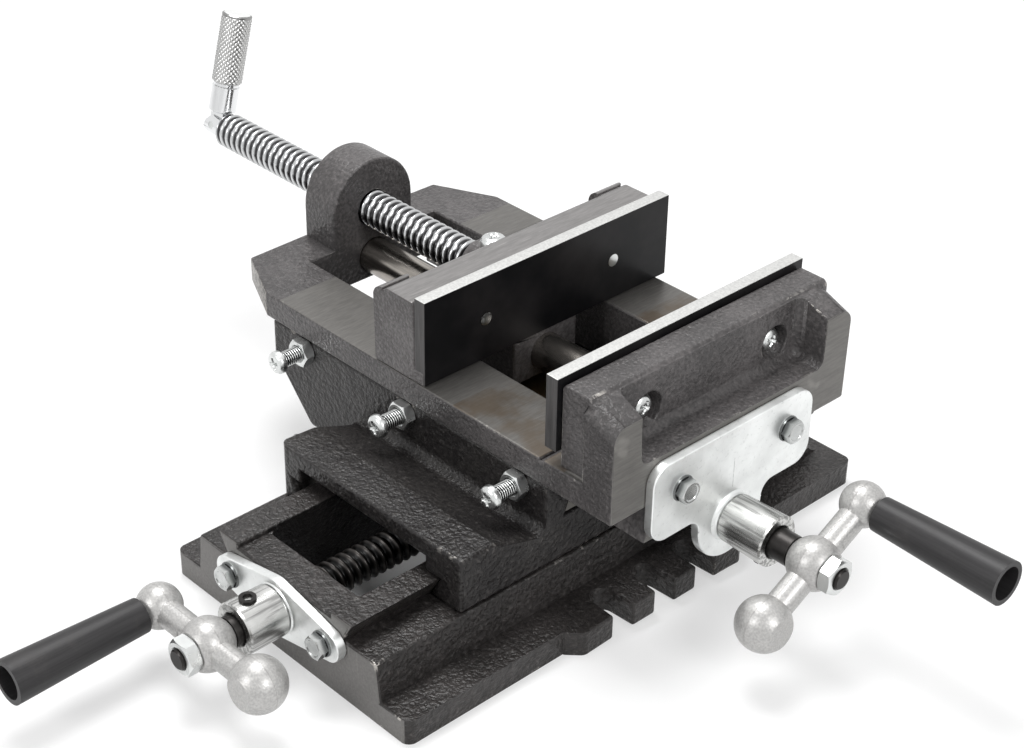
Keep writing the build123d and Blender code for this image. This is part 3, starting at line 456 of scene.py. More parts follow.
# On the bracket bolts the rows marked as roots are the flange and the foot of the hex, so root_tint
# paints painted shade around the head's foot.
bolt_zinc = metal("bolt_zinc", (206, 208, 207), 0.24, 120, spread=0.3, threaded=True,
                  root_tint=(104, 106, 106))
bush_zinc = metal("bush_zinc", (214, 214, 212), 0.26, 90, lines=(60, 900, 900), spread=0.2, streak=0.7)
upper_bush_zinc = metal("upper_bush_zinc", (214, 214, 212), 0.26, 90, lines=(900, 60, 900), spread=0.2,
                        streak=0.7)
chrome = metal("chrome", (230, 231, 232), 0.14, 40, spread=0.06)
bar_steel = metal("bar_steel", (182, 176, 169), 0.24, 70, lines=(700, 30, 700), spread=0.3)
black_steel = metal("black_steel", (52, 50, 49), 0.34, 120, metallic=0.8, spread=0.4)
gib_steel = metal("gib_steel", (110, 108, 104), 0.4, 60, spread=0.3)
bronze = metal("bronze", (134, 114, 86), 0.42, 80, spread=0.3)
print("metal finishes ready")


# %% Blasted aluminium
def blasted(name, seam_axis, seam_place):
    """Die-cast aluminium, bead blasted, with a thin parting line around the middle."""
    shop = Shop(name)
    speck = shop.noise(1700, 2, 0.5)
    cloud = shop.noise(70, 2, 0.5, shift=2.0)
    line = shop.split(shop.place)[seam_axis].near(seam_place, hairline)
    colour = shop.mix(speck.step(0.2, 0.8), tint(158, 157, 156), tint(188, 187, 185))
    colour = shop.mix(cloud.step(0.4, 0.75) * 0.06, colour, tint(140, 138, 136))
    colour = shop.mix(line * 0.3, colour, tint(120, 117, 114))
    return shop.finish(Base_Color=colour, Metallic=0.5, Roughness=0.34 + speck * 0.1,
                       Normal=shop.bump(speck * 0.8 + line * 0.5, 0.1 * mm))


# %% Jaw plates
def plate_steel(name):
    """Hardened plate: ground bright on top, blackened on its faces, sawn grey at its ends."""
    shop = Shop(name)
    lines = shop.noise(1.0, 2, 0.5, at=shop.stretched(900, 900, 60))
    fine = shop.noise(1500, 2, 0.5, shift=5.0)
    top = shop.facing[2].above(0.7)
    end = shop.facing[0].size().above(0.7)
    smear = shop.noise(35, 4, 0.65, shift=3.0)
    black = shop.mix(smear.step(0.35, 0.75), tint(15, 15, 17), tint(40, 38, 39))
    grey = shop.mix(lines.step(0.3, 0.7), tint(66, 65, 65), tint(86, 84, 84))
    bright = shop.mix(fine.step(0.2, 0.8), tint(180, 180, 179), tint(206, 206, 204))
    colour = shop.mix(top, shop.mix(end, black, grey), bright)
    return shop.finish(Base_Color=colour, Metallic=0.15 + top * 0.6, Roughness=0.34 + top * 0.08,
                       Specular_IOR_Level=0.2, Normal=shop.bump(lines, fine_line))


jaw_plate_steel = plate_steel("jaw_plate_steel")


# %% Tube grips
def tube_paint(name, axis):
    """Dark lacquered tube with faint lines along it and a lighter rim."""
    shop = Shop(name)
    along = [2200, 2200, 2200]
    along[axis] = 40
    lines = shop.noise(1.0, 2, 0.5, at=shop.stretched(*along))
    scuffs = shop.noise(90, 5, 0.7, shift=2.0).step(0.5, 0.75)
    rim = shop.mark("worn") * shop.noise(300, 3, 0.6, shift=6.0).step(0.3, 0.5)
    colour = shop.mix(lines.step(0.3, 0.7), tint(36, 35, 36), tint(44, 43, 44))
    colour = shop.mix(scuffs * 0.3, colour, tint(72, 69, 67))
    colour = shop.mix(rim * 0.6, colour, tint(128, 128, 128))
    return shop.finish(Base_Color=colour, Metallic=rim * 0.5, Roughness=0.44 + scuffs * 0.1,
                       Specular_IOR_Level=0.3, Normal=shop.bump(lines, fine_line))


lower_grip_paint = tube_paint("lower_grip_paint", 0)
upper_grip_paint = tube_paint("upper_grip_paint", 1)
print("all finishes ready")

# %% [markdown]
# ## From the solid model to a casting
# The solid model has knife-sharp corners, and no casting does. A copy of its mesh is merged, its flat
# triangles are joined back into whole faces, and every outer corner is rounded with a bevel. The new
# strips get a mark that the iron reads as wear. Weighted normals keep the big faces flat to the light.


# %% Mesh helpers
weld, flat_angle = 0.001 * mm, radians(0.6)


def welded(node):
    """A CAD node's mesh as a bmesh with its surfaces joined up."""
    bm = bmesh.new()
    bm.from_mesh(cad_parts[node].data)
    bmesh.ops.remove_doubles(bm, verts=bm.verts, dist=weld)
    return bm


def solid_copy(node):
    """The same with its flat triangles joined into whole faces."""
    bm = welded(node)
    bmesh.ops.dissolve_limit(bm, angle_limit=flat_angle, verts=bm.verts, edges=bm.edges)
    return bm


def round_corners(bm, width):
    """Bevels the sharp outer corners and marks the strips."""
    worn = bm.faces.layers.float.get("worn") or bm.faces.layers.float.new("worn")
    edges = [e for e in bm.edges if len(e.link_faces) == 2 and e.is_convex
             and e.calc_face_angle(0) > radians(30) and e.calc_length() > 1.2 * width]
    made = bmesh.ops.bevel(bm, geom=edges, offset=width, segments=2, profile=0.5,
                           affect="EDGES", clamp_overlap=False)
    for face in made["faces"]:
        face[worn] = 1.0
    bmesh.ops.remove_doubles(bm, verts=bm.verts, dist=weld)
    bmesh.ops.dissolve_degenerate(bm, edges=bm.edges, dist=weld)


def keep_between(bm, axis, low=None, high=None):
    """Cuts away what lies outside two planes across an axis and closes the ends."""
    normal = Vector([float(i == axis) for i in range(3)])
    for place, side in ((low, -1), (high, 1)):
        if place is None:
            continue
        parts = list(bm.verts) + list(bm.edges) + list(bm.faces)
        cut = bmesh.ops.bisect_plane(bm, geom=parts, dist=1e-8, plane_co=normal * place,
                                     plane_no=normal * side, clear_outer=True)
        rim = [e for e in cut["geom_cut"] if isinstance(e, bmesh.types.BMEdge)]
        bmesh.ops.holes_fill(bm, edges=rim)


def baked(holder, name):
    """The mesh that a holder's modifiers make; the holder goes away."""
    mesh = bpy.data.meshes.new_from_object(
        holder.evaluated_get(bpy.context.evaluated_depsgraph_get()))
    bpy.data.objects.remove(holder)
    mesh.name = name
    return mesh


def to_mesh(bm, name, sharp=35.0):
    """Turns a bmesh into a smooth-shaded mesh with weighted normals."""
    bmesh.ops.recalc_face_normals(bm, faces=bm.faces)
    rough = bpy.data.meshes.new(name + "_rough")
    bm.to_mesh(rough)
    bm.free()
    rough.shade_smooth()
    rough.set_sharp_from_angle(angle=radians(sharp))
    holder = in_scene(name + "_holder", rough)
    holder.modifiers.new("weigh", "WEIGHTED_NORMAL").keep_sharp = True
    return baked(holder, name)


def frame_at(origin, out, side=(0, 0, 1)):
    """The matrix whose local Z points out and whose local X points to the side."""
    z = Vector(out).normalized()
    x = (Vector(side) - z * z.dot(Vector(side))).normalized()
    turn = Matrix((x, z.cross(x), z)).transposed().to_4x4()
    return Matrix.Translation(Vector(origin)) @ turn


def piece(node, ending, body, parts):
    """Joins (mesh, material, matrix) parts into one object that rides a body in a node's place."""
    name, bm, materials = node + "_" + ending, bmesh.new(), []
    bm.faces.layers.float.new("worn")
    bm.verts.layers.float.new("root")
    for mesh, material, matrix in parts:
        if material not in materials:
            materials.append(material)
        copy = mesh.copy()
        copy.transform(matrix)
        first = len(bm.faces)
        bm.from_mesh(copy)
        bm.faces.ensure_lookup_table()
        for face in bm.faces[first:]:
            face.material_index = materials.index(material)
        bpy.data.meshes.remove(copy)
    joined = bpy.data.meshes.new(name)
    bm.to_mesh(joined)
    bm.free()
    for material in materials:
        joined.materials.append(material)
    thing = in_scene(name, joined)
    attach(thing, body)
    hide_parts(node)
    print(f"{name}: {len(joined.polygons)} faces")


here = Matrix.Identity(4)

# %% The four castings
for node, body, slot, finish, width in (
        ("base", "base", "cast_iron", base_iron, 0.7),
        ("saddle", "saddle", "cast_iron", saddle_iron, 1.2),
        ("vise_body", "vise_body", "jaw_iron", body_iron, 0.6),
        ("moving_jaw", "moving_jaw", "jaw_iron", jaw_iron, 0.6)):
    bm = solid_copy(node)
    round_corners(bm, width * mm)
    piece(node, "casting", body, [(to_mesh(bm, node), finish, here)])

# %% [markdown]
# ## Plates, brackets and grips
# These pieces have the right form in the solid model. They mostly need their small edge breaks, which
# draw the bright lines that a machined part shows, and a finish. Screw holes that a screw fills to the
# brim are closed, so that only the screw's own end shows. A grip's bore opens towards its end, and the
# moving jaw's plate reaches down to a thin gap above the ways.

# %% Softened pieces
def fill_bores(bm, axis, radius, centres):
    """Closes round bores along an axis, each at a (first, second) place on the other two."""
    others = [i for i in range(3) if i != axis]
    walls = [face for face in bm.faces if any(
        all(abs(sqrt(sum((v.co[i] - c) ** 2 for i, c in zip(others, centre))) - radius) < 0.03 * mm
            for v in face.verts) for centre in centres)]
    bmesh.ops.delete(bm, geom=walls, context="FACES")
    bmesh.ops.holes_fill(bm, edges=[e for e in bm.edges if e.is_boundary])
    bmesh.ops.dissolve_limit(bm, angle_limit=flat_angle, verts=bm.verts, edges=bm.edges)


def widen_tube(bm, axis, low, high):
    """Opens a tube's bore towards its outer end, which lies at the low end of its axis."""
    middle = (low + high) / 2
    middle[axis] = 0
    for vert in bm.verts:
        side = vert.co - middle
        side[axis] = 0
        if abs(side.length - tube_bore) < 0.05 * mm:
            share = (high[axis] - vert.co[axis]) / (high[axis] - low[axis])
            vert.co += side.normalized() * share * (tube_mouth - tube_bore)


tube_bore, tube_mouth, plate_gap = in_mm(4.3, 5.0, 0.4)
plate_bores = (2.85 * mm, [(-5.9 * mm, 70 * mm), (46.5 * mm, 70 * mm)])
bores = {"upper_bracket": (2.55 * mm, [(-3.3 * mm, 52 * mm), (35.7 * mm, 52 * mm)]),
         "fixed_jaw_plate": plate_bores, "moving_jaw_plate": plate_bores}
for node, body, slot, finish, width in (
        ("fixed_jaw_plate", "vise_body", "ground_steel", jaw_plate_steel, 0.3),
        ("moving_jaw_plate", "moving_jaw", "ground_steel", jaw_plate_steel, 0.3),
        ("lower_bracket", "base", "zinc_steel", plate_zinc, 0.35),
        ("upper_bracket", "vise_body", "zinc_steel", plate_zinc, 0.35),
        ("lower_grip", "lower_grip", "grip_dark", lower_grip_paint, 0.5),
        ("upper_grip", "upper_grip", "grip_dark", upper_grip_paint, 0.5)):
    bm = solid_copy(node)
    if node in bores:
        fill_bores(bm, 1, *bores[node])
    if node.endswith("grip"):
        widen_tube(bm, 0 if node == "lower_grip" else 1, *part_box(node))
    if node == "moving_jaw_plate":
        for vert in bm.verts:
            if vert.co.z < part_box(node)[0].z + 0.1 * mm:
                vert.co.z = min(vert.co.z, ways_top + plate_gap)
    round_corners(bm, width * mm)
    piece(node, "softened", body, [(to_mesh(bm, node), finish, here)])

# %% [markdown]
# ## Threads and knurls
# A thread is a rule: the surface's radius goes up and down along the axis, and the wave is turned a
# little further at each angle. Geometry Nodes bend a flat grid into a tube and read the radius from
# that rule, so one tree cuts every thread here. Two waves that run opposite ways give a diamond knurl.
# The first and last rows of the grid are pulled to the axis, which closes the ends. The tree also
# stores how deep each point lies in the thread, and the finishes of screws darken their roots with it.

# %% Wound sleeve tree
sleeve = bpy.data.node_groups.new("wound_sleeve", "GeometryNodeTree")
sleeve.is_modifier = True
sleeve.interface.new_socket("Geometry", in_out="OUTPUT", socket_type="NodeSocketGeometry")
sleeve_inputs = dict.fromkeys(("Length", "Radius", "Pitch", "Depth", "Crest", "Starts", "Crossed",
                               "Chamfer"), "Float")
sleeve_inputs |= {"Rows": "Int", "Around": "Int", "Finish": "Material"}
for label, kind in sleeve_inputs.items():
    sleeve.interface.new_socket(label, in_out="INPUT", socket_type="NodeSocket" + kind)
winder = Bench(sleeve)
gate = sleeve.nodes.new("NodeGroupInput")
size = {label: Value(winder, gate.outputs[label]) for label in sleeve_inputs}
grid = winder.make("GeometryNodeMeshGrid", {
    "Size X": 1.0, "Size Y": 1.0, "Vertices X": size["Rows"] + 2, "Vertices Y": size["Around"] + 1})
across, around, flat = winder.split(winder.make("GeometryNodeInputPosition"))
row = (across + 0.5) * (size["Rows"] + 1)
along = (row - 1).highest(0).lowest(size["Rows"] - 1) / (size["Rows"] - 1) * size["Length"]
solid_row = row.above(0.5) * row.below(size["Rows"] + 0.5)
turn = (around + 0.5) * (2 * pi)


def wave(way):
    """Height of one helix, 0 at the root and 1 on the crest, with flats on both."""
    phase = (along / size["Pitch"] - size["Starts"] * turn * (way / (2 * pi))).math("FRACT")
    rise = (phase - 0.5).size() * 2
    return ((rise - size["Crest"]) / (1 - size["Crest"] * 2)).highest(0).lowest(1)


height = wave(1).lowest(wave(-1).highest(1 - size["Crossed"]))
nearest_end = along.lowest(size["Length"] - along)
limit = size["Radius"] - (size["Chamfer"] - nearest_end).highest(0)
distance = (size["Radius"] - size["Depth"] * (1 - height)).lowest(limit) * solid_row
point = winder.make("ShaderNodeCombineXYZ", {0: distance * turn.math("COSINE"),
                                             1: distance * turn.math("SINE"), 2: along})
marked = winder.make("GeometryNodeStoreNamedAttribute", {
    "Geometry": grid, "Name": "root", "Value": 1 - height}, data_type="FLOAT", domain="POINT")
bent = winder.make("GeometryNodeSetPosition", {"Geometry": marked, "Position": point})
outward = winder.make("GeometryNodeFlipFaces", {"Mesh": bent})
closed = winder.make("GeometryNodeMergeByDistance", {"Geometry": outward, "Distance": 0.0004 * mm})
real = winder.make("GeometryNodeRealizeInstances", {"Geometry": closed})
dressed = winder.make("GeometryNodeSetMaterial", {"Geometry": real, "Material": size["Finish"]})
leave = sleeve.nodes.new("NodeGroupOutput")
winder.put(leave.inputs["Geometry"], dressed)
print("sleeve tree:", len(sleeve.nodes), "nodes")


# %% Baking the tree
def wound(name, finish, length, radius, pitch, depth, crest=0.12, starts=1.0, crossed=0.0, chamfer=0.0,
          per_turn=10, around=48):
    """One thread or knurl along +Z as a plain mesh."""
    rows = int(length / pitch * per_turn) + 2
    sizes = dict(zip(sleeve_inputs, (length, radius, pitch, depth, crest, starts, crossed, chamfer,
                                     rows, around, finish)))
    holder = in_scene(name + "_holder", bpy.data.meshes.new(name + "_empty"))
    modifier = holder.modifiers.new("wind", "NODES")
    modifier.node_group = sleeve
    for item in sleeve.interface.items_tree:
        if item.item_type == "SOCKET" and item.in_out == "INPUT":
            modifier[item.identifier] = sizes[item.name]
    mesh = baked(holder, name)
    mesh.shade_smooth()
    print(f"{name}: {len(mesh.polygons)} faces")
    return mesh


# %% [markdown]
# ## Turned forms
# Screw heads, nuts and studs are closed rings of points. A ring's radius may be a rule of the angle,
# and that is all a hexagon needs. Its corners are cut by a cone, as a real nut's are.


# %% Rings
def rings(name, profile, around=48, painted_shade_rows=()):
    """A closed form along +Z from (radius, height) rings; either may be a rule of the angle.

    The points of the rows given by number are marked as deeply as a thread's root; a finish with dark
    roots paints painted shade on them."""
    bm = bmesh.new()
    root = bm.verts.layers.float.new("root")
    loops = []
    for radius, height in profile:
        loop = []
        for i in range(around):
            angle = 2 * pi * i / around
            r = radius(angle) if callable(radius) else radius
            h = height(angle) if callable(height) else height
            loop.append(bm.verts.new((r * cos(angle), r * sin(angle), h)))
            loop[-1][root] = float(len(loops) in painted_shade_rows)
        loops.append(loop)
    for lower, upper in zip(loops, loops[1:]):
        for i in range(around):
            j = (i + 1) % around
            bm.faces.new((lower[i], lower[j], upper[j], upper[i]))
    bmesh.ops.remove_doubles(bm, verts=bm.verts, dist=0.0005 * mm)
    return to_mesh(bm, name, 28)


def rod(radius, start, end, across=0.0, along=0.0):
    """Rings of a closed rod whose far edge is cut off."""
    return [(0, start), (radius, start), (radius, end - along), (radius - across, end), (0, end)]


def hex_profile(across_flats, low, high, chamfer_low=True):
    """Rings of a hexagon whose corners are cut by a cone."""
    face = 0.475 * across_flats
    side = lambda angle: across_flats / 2 / cos((angle + pi / 6) % (pi / 3) - pi / 6)
    drop = lambda angle: (side(angle) - face) * tan(radians(30))
    lower = (side, lambda angle: low + drop(angle)) if chamfer_low else (side, low)
    return [(face, low), lower, (side, lambda angle: high - drop(angle)), (face, high)]


def nut(name, across_flats, thick, hole):
    """A nut with a countersunk hole."""
    ring = hex_profile(across_flats, 0, thick)
    sink = 0.4 * mm
    hole_rings = [(hole + sink, thick), (hole, thick - sink), (hole, sink), (hole + sink, 0), ring[0]]
    return rings(name, ring + hole_rings)


# %% Cross recess
def crossed_head(name, radius, height, recess_arm, recess_width, recess_depth):
    """A pan head along +Z with a tapered cross recess."""
    rim_height, steps = 0.35 * height, 8
    curve = [(0, 0), (radius * 0.97, 0), (radius, 0.12 * height)]
    for i in range(1, steps + 1):
        angle = radians(90 * i / steps)
        out = radius * cos(angle * 0.98) ** 0.55 if i < steps else 0.0
        curve.append((out, rim_height + (height - rim_height) * sin(angle)))
    dome = rings(name + "_dome", curve, 40)
    bm = bmesh.new()
    arm, half = recess_arm / 2, recess_width / 2
    outline, quarter = [], [(arm, -half), (arm, half), (half, half)]
    for _ in range(4):
        outline += quarter
        quarter = [(-y, x) for x, y in quarter]
    top = [bm.verts.new((x, y, height + 0.5 * mm)) for x, y in outline]
    bottom = [bm.verts.new((x * 0.6, y * 0.6, height - recess_depth)) for x, y in outline]
    bm.faces.new(top)
    bm.faces.new(list(reversed(bottom)))
    for i in range(len(outline)):
        j = (i + 1) % len(outline)
        bm.faces.new((bottom[i], bottom[j], top[j], top[i]))
    bmesh.ops.recalc_face_normals(bm, faces=bm.faces)
    cutter_mesh = bpy.data.meshes.new(name + "_cutter")
    bm.to_mesh(cutter_mesh)
    bm.free()
    holder, cutter = in_scene(name + "_holder", dome), in_scene(name + "_tool", cutter_mesh)
    bite = holder.modifiers.new("bite", "BOOLEAN")
    bite.object, bite.operation, bite.solver = cutter, "DIFFERENCE", "EXACT"
    mesh = baked(holder, name)
    bpy.data.objects.remove(cutter)
    mesh.set_sharp_from_angle(angle=radians(35))
    return mesh


# %% Islands of a node
def islands(node):
    """Middle and size of each loose solid in a CAD node, from its lowest corner on."""
    bm = welded(node)
    left, found = set(bm.verts), []
    while left:
        group, edge = set(), [left.pop()]
        while edge:
            vert = edge.pop()
            group.add(vert)
            for link in vert.link_edges:
                other = link.other_vert(vert)
                if other in left:
                    left.remove(other)
                    edge.append(other)
        found.append([[pick(v.co[i] for v in group) for i in range(3)] for pick in (min, max)])
    bm.free()
    boxes = [(Vector(low), Vector(high)) for low, high in sorted(found)]
    return [((low + high) / 2, high - low) for low, high in boxes]


print("gib screws at", [round(middle.y / mm, 1) for middle, size in islands("upper_gib_screws")])

# %% [markdown]
# ## Cranks
# Both slides have a crank: the lower one looks along -X from the base, the upper along -Y from the
# vise's body. They keep the solid model's form. The flats on their balls are ground, so their edges
# stay crisp and are shaded sharp. A cap in front of each hub ends in the flat that the nut sits on.

# %% Cranks
ball_radius, hub_radius, hub_front, nut_seat = in_mm(8.1, 7.82, 3.8, 5.2)
crank_out = {"lower": Vector((-1, 0, 0)), "upper": Vector((0, -1, 0))}
ends = (("lower", "base", 0), ("upper", "vise_body", 1))
crank_centre, hub_place = {}, {}
cap_from, hub_middle, cap_middle = in_mm(2.9, 2.7, 4.5)
hub_cap = rings("hub_cap", [(0, cap_from)] + [
    (sqrt(hub_radius ** 2 - h ** 2), h) for h in (cap_from, hub_front, cap_middle, nut_seat)]
    + [(0, nut_seat)], 72)

for side, body, axis in ends:
    low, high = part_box(side + "_crank_nut")
    crank_centre[side] = (low + high) / 2 - crank_out[side] * (hub_front + hub_middle)
    hub_place[side] = frame_at(crank_centre[side], crank_out[side])
    low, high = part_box(side + "_crank")
    finish = blasted(side + "_crank_metal", axis, high[axis] - ball_radius)
    crank = to_mesh(solid_copy(side + "_crank"), side + "_crank", 25)
    piece(side + "_crank", "blasted", side + "_screw",
          [(crank, finish, here), (hub_cap, finish, hub_place[side])])

# %% [markdown]
# ## Clamp screw and folding handle
# The clamp screw is a bright trapezoidal thread of 3 mm pitch. Its neck is slotted for the handle's
# flat tang. Neck and spigot come from the solid model, the thread between them is wound.

# %% Clamp screw
clamp_low, clamp_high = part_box("clamp_screw")
clamp_x, clamp_z = ((clamp_low[i] + clamp_high[i]) / 2 for i in (0, 2))
neck_radius, pivot_offset, screw_start_gap = in_mm(4.0, 4.6, 0.3)
pivot = Vector((clamp_x, clamp_high.y - neck_radius, clamp_z))
thread_start, thread_end = jaw_high.y + screw_start_gap, pivot.y - pivot_offset
clamp_thread_steel = metal("clamp_thread_steel", (206, 207, 208), 0.2, 60, spread=0.1, threaded=True,
                           root_tint=(66, 66, 67))
clamp_thread = wound("clamp_thread", clamp_thread_steel, thread_end - thread_start, 6 * mm, 3 * mm,
                     1.1 * mm, crest=0.2, chamfer=1.0 * mm, per_turn=14, around=64)
neck = solid_copy("clamp_screw")
keep_between(neck, 1, low=thread_end + 0.01 * mm)
round_corners(neck, 0.25 * mm)
spigot = solid_copy("clamp_screw")
keep_between(spigot, 1, high=thread_start - 0.01 * mm)
piece("clamp_screw", "threaded", "clamp_screw", [
    (clamp_thread, clamp_thread_steel,
     frame_at((clamp_x, thread_start, clamp_z), (0, 1, 0), (1, 0, 0))),
    (to_mesh(neck, "neck"), chrome, here), (to_mesh(spigot, "spigot"), chrome, here)])

# %% Folding handle
handle_tilt = radians(15)
lean = Vector((sin(handle_tilt), 0, cos(handle_tilt)))
handle_place = frame_at(pivot, lean, (1, 0, 0))
shaft_from, knurl_from, knurl_to, handle_end = in_mm(5.0, 15.3, 38.9, 39.7)
shaft_radius, knurl_radius, shaft_groove = in_mm(4.75, 5.25, 0.5)
white_end = metal("white_end", (224, 225, 224), 0.4, 60, metallic=0.6, spread=0.04)
rim_steel = metal("rim_steel", (150, 150, 149), 0.3, 60, spread=0.1)
knurl_steel = metal("knurl_steel", (232, 232, 231), 0.24, 60, spread=0.12, threaded=True,
                    root_tint=(176, 176, 175))
tang = solid_copy("folding_handle")
tang.transform(handle_place.inverted())
keep_between(tang, 2, high=shaft_from)
shaft = rings("handle_shaft", [
    (0, shaft_from), (shaft_radius - 0.6 * mm, shaft_from), (shaft_radius, shaft_from + 0.6 * mm),
    (shaft_radius, knurl_from - 1.2 * mm), (shaft_radius - shaft_groove, knurl_from - 0.9 * mm),
    (shaft_radius - shaft_groove, knurl_from), (0, knurl_from)], 56)
knurl = wound("handle_knurl", knurl_steel, knurl_to - knurl_from, knurl_radius, 1.7 * mm, 0.3 * mm,
              crest=0.2, starts=20, crossed=1.0, chamfer=0.7 * mm, per_turn=6, around=160)
rim = rings("handle_rim", rod(knurl_radius - 0.15 * mm, knurl_to - 0.5 * mm, handle_end - 0.3 * mm,
                              0.35 * mm, 0.3 * mm), 56)
cap = rings("handle_cap", rod(knurl_radius - 0.75 * mm, handle_end - 0.5 * mm, handle_end,
                              0.3 * mm, 0.2 * mm), 56)
piece("folding_handle", "knurled", "folding_handle", [
    (to_mesh(tang, "tang"), chrome, handle_place), (shaft, chrome, handle_place),
    (knurl, knurl_steel, handle_place @ Matrix.Translation((0, 0, knurl_from))),
    (rim, rim_steel, handle_place), (cap, white_end, handle_place)])

# %% [markdown]
# ## Lead screws
# Both lead screws are blackened. Only the thread is wound, and the stud for the crank's nut is turned;
# the journal, its groove and the crank's seat come from the solid model.

# %% Lead screws
relief_end = 1.5 * mm
(lower_low, lower_high), (upper_low, upper_high) = (
    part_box(side + "_lead_screw") for side in ("lower", "upper"))
lower_axis_z = (lower_low.z + lower_high.z) / 2
upper_axis_x, upper_axis_z = ((upper_low[i] + upper_high[i]) / 2 for i in (0, 2))
lead_steel = metal("lead_steel", (58, 55, 53), 0.3, 120, metallic=0.75, spread=0.4, threaded=True,
                   root_tint=(10, 10, 10))
stud_radius, stud_from, stud_end = in_mm(3.05, 3.2, 10.3)
stud = rings("crank_stud", rod(stud_radius, stud_from, stud_end, 0.4 * mm, 0.4 * mm), 36)
for side, axis, origin, end, shape, points, finish in (
        ("lower", 0, (base_low.x + relief_end, 0, lower_axis_z), lower_high.x,
         in_mm(5.5, 3, 1.3), 48, lead_steel),
        ("upper", 1, (upper_axis_x, body_low.y + relief_end, upper_axis_z), upper_high.y,
         in_mm(4, 2, 0.9), 32, black_steel)):
    start = origin[axis]
    thread = wound(side + "_lead_thread", finish, end - start, *shape, crest=0.16, chamfer=1.0 * mm,
                   around=points)
    bm = solid_copy(side + "_lead_screw")
    keep_between(bm, axis, crank_centre[side][axis] - stud_from, start - 0.01 * mm)
    round_corners(bm, 0.2 * mm)
    piece(side + "_lead_screw", "threaded", side + "_screw", [
        (thread, finish, frame_at(origin, -crank_out[side])),
        (to_mesh(bm, side + "_journal"), black_steel, here), (stud, black_steel, hub_place[side])])

# %% [markdown]
# ## Gib screws, lock nuts and bolts
# Three screws press each gib strip against its slide, and a nut locks each screw. The heads are pan
# heads with a cross recess, cut by a tapered cross. Places come from the loose solids of the CAD nodes.
# The lower screws are turned in deeper, and the upper bracket's bolts sit a little lower and further
# apart than in the solid model.

# %% Gib screws and lock nuts
head_height, gib_radius, gib_pitch, nut_play = in_mm(2.7, 2.5, 0.8, 0.05)
lower_sunk, lock_thick = in_mm(3.6, 3.6)
pan_head = crossed_head("pan_head", 3.65 * mm, head_height, 4.4 * mm, 1.15 * mm, 1.7 * mm)
gib_thread_zinc = metal("gib_thread_zinc", (222, 224, 223), 0.28, 90, spread=0.22, threaded=True)
gib_length = islands("upper_gib_screws")[0][1].x - head_height
lock_nut = nut("lock_nut", 8 * mm, lock_thick, gib_radius + nut_play)
for side, out, deeper in (("upper", Vector((-1, 0, 0)), 0.0), ("lower", Vector((0, 1, 0)), lower_sunk)):
    gib_thread = wound(side + "_gib_thread", gib_thread_zinc, gib_length - deeper, gib_radius,
                       gib_pitch, 0.42 * mm, crest=0.1, chamfer=0.4 * mm, per_turn=8, around=24)
    parts = []
    for middle, size in islands(side + "_gib_screws"):
        seat = middle + out * (abs(size.dot(out)) / 2 - head_height - deeper)
        parts += [(pan_head, zinc, frame_at(seat, out, (0, 0.4, 1))),
                  (gib_thread, gib_thread_zinc, frame_at(seat, -out))]
    piece(side + "_gib_screws", "threaded", "saddle", parts)
    nuts = [(lock_nut, zinc, frame_at(middle - out * (lock_thick / 2), out))
            for middle, size in islands(side + "_lock_nuts")]
    piece(side + "_lock_nuts", "cut", "saddle", nuts)

# %% Bracket bolts
plate_thick, bolt_af, bolt_top, bolt_shank, bolt_grip = in_mm(3, 6.5, 3.5, 2.5, 12)
flange_radius, flange_thick, bolt_right, bolt_apart, bolt_down = in_mm(4.0, 0.7, 0.6, 2.4, 1.2)
plate_face = {"lower": base_low.x - plate_thick, "upper": body_low.y - plate_thick}
hex_rings = hex_profile(bolt_af, flange_thick - 0.2 * mm, bolt_top, chamfer_low=False)
# Rows 5 to 7, the flange and the foot of the hex, are marked to be painted darker: painted shade under
# the head.
bolt = rings("flange_bolt", [
    (0, -bolt_grip), (bolt_shank - 0.4 * mm, -bolt_grip), (bolt_shank, 0.4 * mm - bolt_grip),
    (bolt_shank, 0), (flange_radius, 0), (flange_radius, 0.5 * flange_thick),
    (flange_radius - 0.3 * mm, flange_thick)] + hex_rings[1:] + [
    (2.6 * mm, bolt_top), (2.3 * mm, bolt_top - 0.25 * mm), (0, bolt_top - 0.25 * mm)],
    painted_shade_rows=(5, 6, 7))
for side, body, axis in ends:
    parts = []
    for middle, size in islands(side + "_bracket_bolts"):
        middle[axis] = plate_face[side]
        if side == "upper":
            apart = bolt_apart if middle.x > upper_axis_x else -bolt_apart
            middle += Vector((bolt_right + apart, 0, -bolt_down))
        parts.append((bolt, bolt_zinc, frame_at(middle, crank_out[side])))
    piece(side + "_bracket_bolts", "cut", body, parts)

# %% [markdown]
# ## Bushes
# Each bush is turned from bar. A collar of the plate stands up around it, and a groove parts the two.

